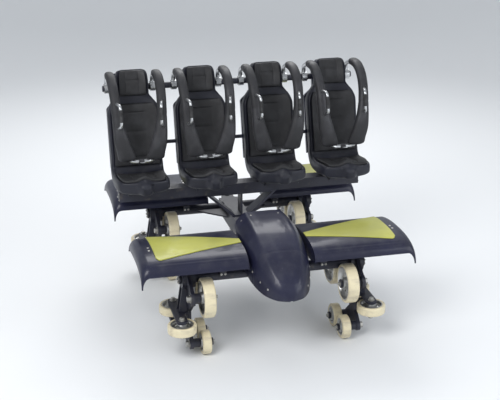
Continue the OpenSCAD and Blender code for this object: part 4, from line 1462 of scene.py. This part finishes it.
@dataclass
class Restraints:
    """Over-shoulder restraints: foam collars, grips, hub bolts and a short safety belt.

    Places are measured from the pivot of a fully closed restraint. Columns of sleeve: x,
    z, half thickness, half width, shift inwards from the arm.
    """

    arm_y: float = 0.206
    hub_half: float = 0.022
    hub_ring: float = 0.0365
    grip: Rows = ((0.6168, 0.1728, -0.268), (0.6131, 0.1753, -0.162))
    lap: Tuple[float, float, float] = (0.450, 0, -0.628)
    loop_r: float = 0.0215
    belt_half: float = 0.024
    belt_flat: float = 0.09
    tail: Rows = (
        (0.4700, 0, -0.6300), (0.4790, 0, -0.6325), (0.4870, 0, -0.6330), (0.4950, 0, -0.6325))
    tongue: Tuple[float, float] = (0.026, 0.021)
    tongue_out: float = 0.018
    sleeve: Rows = (
        (0.176, 0.118, 0.024, 0.030, 0), (0.215, 0.122, 0.034, 0.040, 0),
        (0.310, 0.104, 0.036, 0.042, 0), (0.392, 0.058, 0.037, 0.042, 0),
        (0.458, -0.018, 0.038, 0.042, 0.002), (0.494, -0.110, 0.040, 0.042, 0.006),
        (0.508, -0.230, 0.042, 0.045, 0.013), (0.510, -0.350, 0.044, 0.055, 0.026),
        (0.500, -0.460, 0.044, 0.069, 0.046), (0.474, -0.560, 0.040, 0.076, 0.074),
        (0.452, -0.618, 0.030, 0.084, 0.084))

    def collar(self, y: float, k: int) -> Array:
        """One side of the collar: oval sections square to the arm, with a moulded seam.

        Args:
            y: the seat's middle.
            k: the side.

        Returns:
            A grid of rings.
        """
        p = smooth_rows(self.sleeve, 120)
        d = unit(np.gradient(p[:, :2], axis=0))
        s = np.linspace(0, 1, 120)[:, None]
        a = circle(56)
        c, t = spow(np.cos(a), 0.8), spow(np.sin(a), 0.8)
        end = np.maximum(1 - np.abs(2 * s - 1) ** 26, 0) ** 0.5
        seam = 1 - 0.035 * bell(np.degrees(np.abs(np.arcsin(np.sin(a)))), 8, 4)
        size = end * seam * (1 - 0.05 * sum(bell(s, at, 0.006) for at in (0.20, 0.60)))
        x = p[:, :1] - d[:, 1:] * t * p[:, 2:3] * size
        z = p[:, 1:2] + d[:, :1] * t * p[:, 2:3] * size
        yy = k * (self.arm_y - p[:, 4:5] + c * p[:, 3:4] * size)
        return PLACE.on_restraint(np.stack([x, yy, z], -1), y)

    def grips(self, y: float) -> Surface:
        """The ribbed rubber on both grab handles, and the hubs' bolts.

        Args:
            y: the seat's middle.

        Returns:
            The surface.
        """
        made = Surface()
        t = np.linspace(0, 1, 90)
        ripple = 0.0009 * np.cos(t * 2 * math.pi * 11)
        radius = 0.0172 + ripple + 0.002 * (np.abs(2 * t - 1) > 0.94)
        for _, k in SIDES:
            low, high = np.array(self.grip) * [1, k, 1]
            path = PLACE.on_restraint(low + (high - low) * t[:, None], y)
            made.tube(path, radius, Finish.RUBBER, 24)
            for side in (-1, 1):
                hub = side_ring(circle(5, 0.4), self.hub_ring)
                hub[:, 1] = k * self.arm_y + side * self.hub_half
                made.bolts(PLACE.on_restraint(hub, y), (0, side, 0), 0.009)
        return made

    def belt(self, y: float) -> Surface:
        """The safety belt's short end: a loop round the lap tube, its stiff tail and steel tongue.

        The loop is a flat oval tube on a circle. The tail bends forwards, and stays over the
        seat's saddle where the restraint is fully closed.

        Args:
            y: the seat's middle.

        Returns:
            The surface.
        """
        made = Surface()
        loop = side_ring(np.linspace(0.0, 2 * math.pi, 49), self.loop_r)
        tail = PLACE.on_restraint(smooth_rows(self.tail, 30), y)
        for path in (PLACE.on_restraint(self.lap, y) + loop, tail):
            made.tube(path, self.belt_half, Finish.WEB, 12, self.belt_flat)
        way = unit(tail[-1] - tail[-2])
        square = np.array([way, (0, 1, 0), np.cross(way, (0, 1, 0))])
        a = circle(48)
        oval = spow(np.stack([np.cos(a), np.sin(a)], -1), 0.3) * self.tongue
        rings = np.zeros((4, len(a), 3))
        rings[..., :2] = np.array([0.95, 1, 1, 0.95])[:, None, None] * oval
        rings[..., 2] = np.array([-0.003, -0.002, 0.002, 0.003])[:, None]
        return made.grid(rings @ square + tail[-1] + self.tongue_out * way, Finish.STEEL)

    def build(self) -> None:
        """Makes the soft parts and fittings of the four restraints."""
        for number, y in enumerate(PLACE.seats, 1):
            body = f"restraint_{number}"
            soft = Surface()
            for _, k in SIDES:
                soft.grid(self.collar(y, k), Finish.COLLAR)
            soft.piece(f"restraint_{number}_collar", body, [f"restraint_pad_{number}"], pad=0.95)
            self.grips(y).piece(f"restraint_{number}_grips", body)
            self.belt(y).piece(f"restraint_{number}_belt", body)


# Frame dressing


@dataclass
class FrameTrim:
    """Bolts, weld beads and end plates on the seat car and the nose frame."""

    spine_w: float = 0.170
    spine_h: float = 0.160
    beam_z: float = 0.944
    beam_h: float = 0.090
    beam_half: float = 1.108
    spine_seam: float = 0.98
    pylon_half: float = 0.065
    pylon_reach: float = 0.325
    end_plate: Tuple[float, float] = (0.062, 0.042)
    end_t: float = 0.008
    block_r: float = 0.057
    block_bolt_y: float = 0.076
    block_bolt_dz: float = 0.046
    rail_w: float = 0.107
    rail_seam: Tuple[float, float] = (0.058, 0.255)
    rail_bolt: Tuple[float, float] = (0.132, 0.7761)
    block_size: float = 0.022
    post_size: float = 0.016
    saddle_size: float = 0.015
    end_size: float = 0.013

    def seam(self, made: Surface, start: Vec, stop: Vec) -> None:
        """Adds a straight level weld bead whose radius ripples along it.

        Args:
            made: the surface to add it to.
            start: one end.
            stop: the other end.
        """
        t = np.linspace(0, 1, 120)
        path = np.asarray(start, float) + np.subtract(stop, start) * t[:, None]
        radius = 0.0038 + 0.0006 * np.cos(t * 2 * math.pi * 26)
        made.tube(path, radius, Finish.FRAME, 8, across=UP)

    def block_bolts(self, made: Surface, x: float, rises: Vec, out: int) -> None:
        """Adds bolts on an axle's block.

        Args:
            made: the surface to add them to.
            x: the block's face.
            rises: their heights over the axle.
            out: 1 where they stand forwards and -1 where backwards.
        """
        spots = [(x, y, PLACE.axle_z + dz) for y in (-self.block_bolt_y, self.block_bolt_y)
                 for dz in rises]
        made.bolts(spots, (out, 0, 0), self.block_size)

    def seat_car(self) -> None:
        """Dresses the spine, the pylon and the beam."""
        made = Surface()
        top = PLACE.axle_z + self.spine_h / 2 + 0.001
        low, high = PLACE.beam_x - self.pylon_half, PLACE.beam_x + self.pylon_half
        for k in (-1, 1):
            y = k * self.spine_w / 2 * self.spine_seam
            self.seam(made, (low, y, top), (high, y, top))
        for x in (low, high):
            ends = ((x, y, self.beam_z) for y in (-self.pylon_reach, self.pylon_reach))
            self.seam(made, *ends)
        for k in (-1, 1):
            end = np.array([PLACE.beam_x, k * (self.beam_half - 0.006),
                            self.beam_z + self.beam_h / 2])
            made.plate(self.end_plate, end, (0, k, 0), self.end_t, Finish.FRAME)
            spots = [end + [dx, k * (self.end_t - 0.0002), dz]
                     for dx in (-0.048, 0.048) for dz in (-0.029, 0.029)]
            made.bolts(spots, (0, k, 0), self.end_size)
            for y in PLACE.seats:
                spots = [(PLACE.beam_x + dx, y + k * PLACE.post_y + dy, PLACE.post_top + 0.0002)
                         for dx in (-0.168, 0.176) for dy in (-0.010, 0.010)]
                made.bolts(spots, UP, self.post_size)
        rises = (-self.block_bolt_dz, 0.0, self.block_bolt_dz)
        self.block_bolts(made, PLACE.rear - self.block_r - 0.0001, rises, -1)
        made.piece("seat_car_fasteners", "seat_car")

    def clamps(self) -> None:
        """Bolts the saddles of the fender arms down on both axle tubes."""
        for axle, x, body in AXLES:
            made = Surface()
            for s in (-1, 1):
                spots = [(x + s * self.block_r, k * PLACE.arm_in + dy, PLACE.axle_z + 0.024)
                         for _, k in SIDES for dy in (-0.016, 0.016)]
                made.bolts(spots, (s, 0, 0), self.saddle_size)
            made.piece(f"{axle}_saddle_bolts", body)

    def nose(self) -> None:
        """Dresses the nose unit's frame."""
        made = Surface()
        x, z = PLACE.front, PLACE.axle_z + 0.035
        bolt_y, bolt_z = self.rail_bolt
        for k in (-1, 1):
            self.seam(made, *((x + dx, k * self.rail_w, z) for dx in self.rail_seam))
            spots = [(x + dx, k * bolt_y, bolt_z) for dx in (-0.11, -0.08)]
            made.bolts(spots, UP, self.post_size)
        rises = (-self.block_bolt_dz, self.block_bolt_dz)
        self.block_bolts(made, x + self.block_r + 0.0002, rises, 1)
        made.piece("nose_frame_fasteners", "nose_unit")

    def build(self) -> None:
        """Makes all the dressing."""
        self.seat_car()
        self.clamps()
        self.nose()


def dress_cad() -> None:
    """Gives each CAD node that stays its material."""
    ends = [f"{axle}_{side}" for axle, _, _ in AXLES for side, _ in SIDES]
    for finish, nodes in {
        Finish.FRAME: [
            "chassis_spine", "rear_axle", "rear_clevis", "front_axle", "seat_frame",
            "front_fender_arms", "rear_fender_arms", *(f"carrier_{end}" for end in ends)],
        Finish.HUB: ["hitch_swivel", "hitch_yoke"],
        Finish.ZINC: ["brake_fin", "rollback_dog"],
        Finish.STEEL: [f"restraint_{number}" for number in range(1, 5)],
    }.items():
        for node in nodes:
            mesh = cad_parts[node].data
            mesh.materials.clear()
            mesh.materials.append(material_of(finish))


# Studio


@dataclass
class Studio:
    """Pale floor, soft lamps and the photograph's camera."""

    azimuth: float = 76.0
    elevation: float = 20.0
    lens: float = 85.0
    sensor: float = 36.0
    distance: float = 10.4
    target: Tuple[float, float, float] = (-0.10, 0.0, 0.98)
    floor_half: float = 20.0
    floor_flat: float = 9.0
    floor_rise: float = 0.10
    sky: Colour = (0.86, 0.90, 0.95)
    sky_strength: float = 0.62

    def floor(self) -> None:
        """A large pale floor that curves up all round, far from the car."""
        s = np.linspace(-1, 1, 80) * self.floor_half
        x, y = np.meshgrid(s, s, indexing="ij")
        far = np.clip(np.hypot(x, y) - self.floor_flat, 0, None)
        grid = np.stack([x, y, self.floor_rise * far**2 - 0.0005], -1)
        g = Graph("pale_floor")
        g.set(Base_Color=(0.80, 0.81, 0.82, 1.0), Roughness=0.85)
        made = Surface().grid(grid, Finish.FRAME, around=False, caps=False)
        mesh = bpy.data.meshes.new("studio_floor")
        mesh.from_pydata(made.points[0].tolist(), [], made.quads[0].tolist())
        mesh.polygons.foreach_set("use_smooth", np.ones(len(mesh.polygons), bool))
        mesh.materials.append(g.material)
        floor = add_object("studio_floor", mesh)

    def aim(self, made: bpy.types.Object, place: Vec, way: Vec) -> None:
        """Puts a lamp or the camera at a place, looking along a direction.

        Args:
            made: the object.
            place: where it stands.
            way: the direction.
        """
        made.location = place
        made.rotation_mode = "QUATERNION"
        made.rotation_quaternion = Vector(way).to_track_quat("-Z", "Y")

    def lamp(
        self, name: str, place: Vec, size: float, power: float, tint: Colour = (1, 1, 1)
    ) -> None:
        """Adds one soft square lamp that looks at the car.

        Args:
            name: its name.
            place: where it stands.
            size: its side.
            power: its power in watts.
            tint: its colour.
        """
        light = bpy.data.lights.new(name, "AREA")
        light.size, light.energy, light.color = size, power, tint
        self.aim(add_object(name, light), place, np.array(self.target) - np.array(place))

    def camera(self) -> None:
        """The camera, at the photograph's angle to the car."""
        a, e = math.radians(self.azimuth), math.radians(self.elevation)
        back = Vector((math.sin(a) * math.cos(e), -math.cos(a) * math.cos(e), math.sin(e)))
        data = bpy.data.cameras.new("camera")
        data.lens, data.sensor_width = self.lens, self.sensor
        made = add_object("camera", data)
        self.aim(made, Vector(self.target) + back * self.distance, -back)
        bpy.context.scene.camera = made

    def build(self) -> None:
        """Makes the stage."""
        self.floor()
        self.camera()
        self.lamp("key_lamp", (5.0, -4.5, 6.5), 4.0, 455)
        self.lamp("fill_lamp", (5.5, 5.5, 3.5), 5.0, 215, (0.93, 0.96, 1.0))
        self.lamp("back_lamp", (-5.5, 1.0, 6.0), 4.0, 290)
        world = bpy.data.worlds.new("studio_world")
        world.use_nodes = True
        background = world.node_tree.nodes["Background"]
        background.inputs[0].default_value = (*self.sky, 1)
        background.inputs[1].default_value = self.sky_strength
        bpy.context.scene.world = world
        bpy.context.scene.view_settings.view_transform = "Standard"


def corners(box: Tuple[Vec, Vec]) -> List[List[float]]:
    """A box's two corners as plain numbers."""
    return [[float(v) for v in corner] for corner in box]


def main() -> None:
    """Builds every sub-assembly in order."""
    logging.basicConfig(level=logging.INFO, format="%(message)s")
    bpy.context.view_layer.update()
    Studio().build()
    dress_cad()
    for assembly in (
        Wheels(), CarrierTrim(), Fenders(), Hood(), Seats(), BackCovers(), Restraints(),
        FrameTrim(),
    ):
        LOG.info("building %s", type(assembly).__name__)
        assembly.build()


if __name__ == "__main__":
    main()
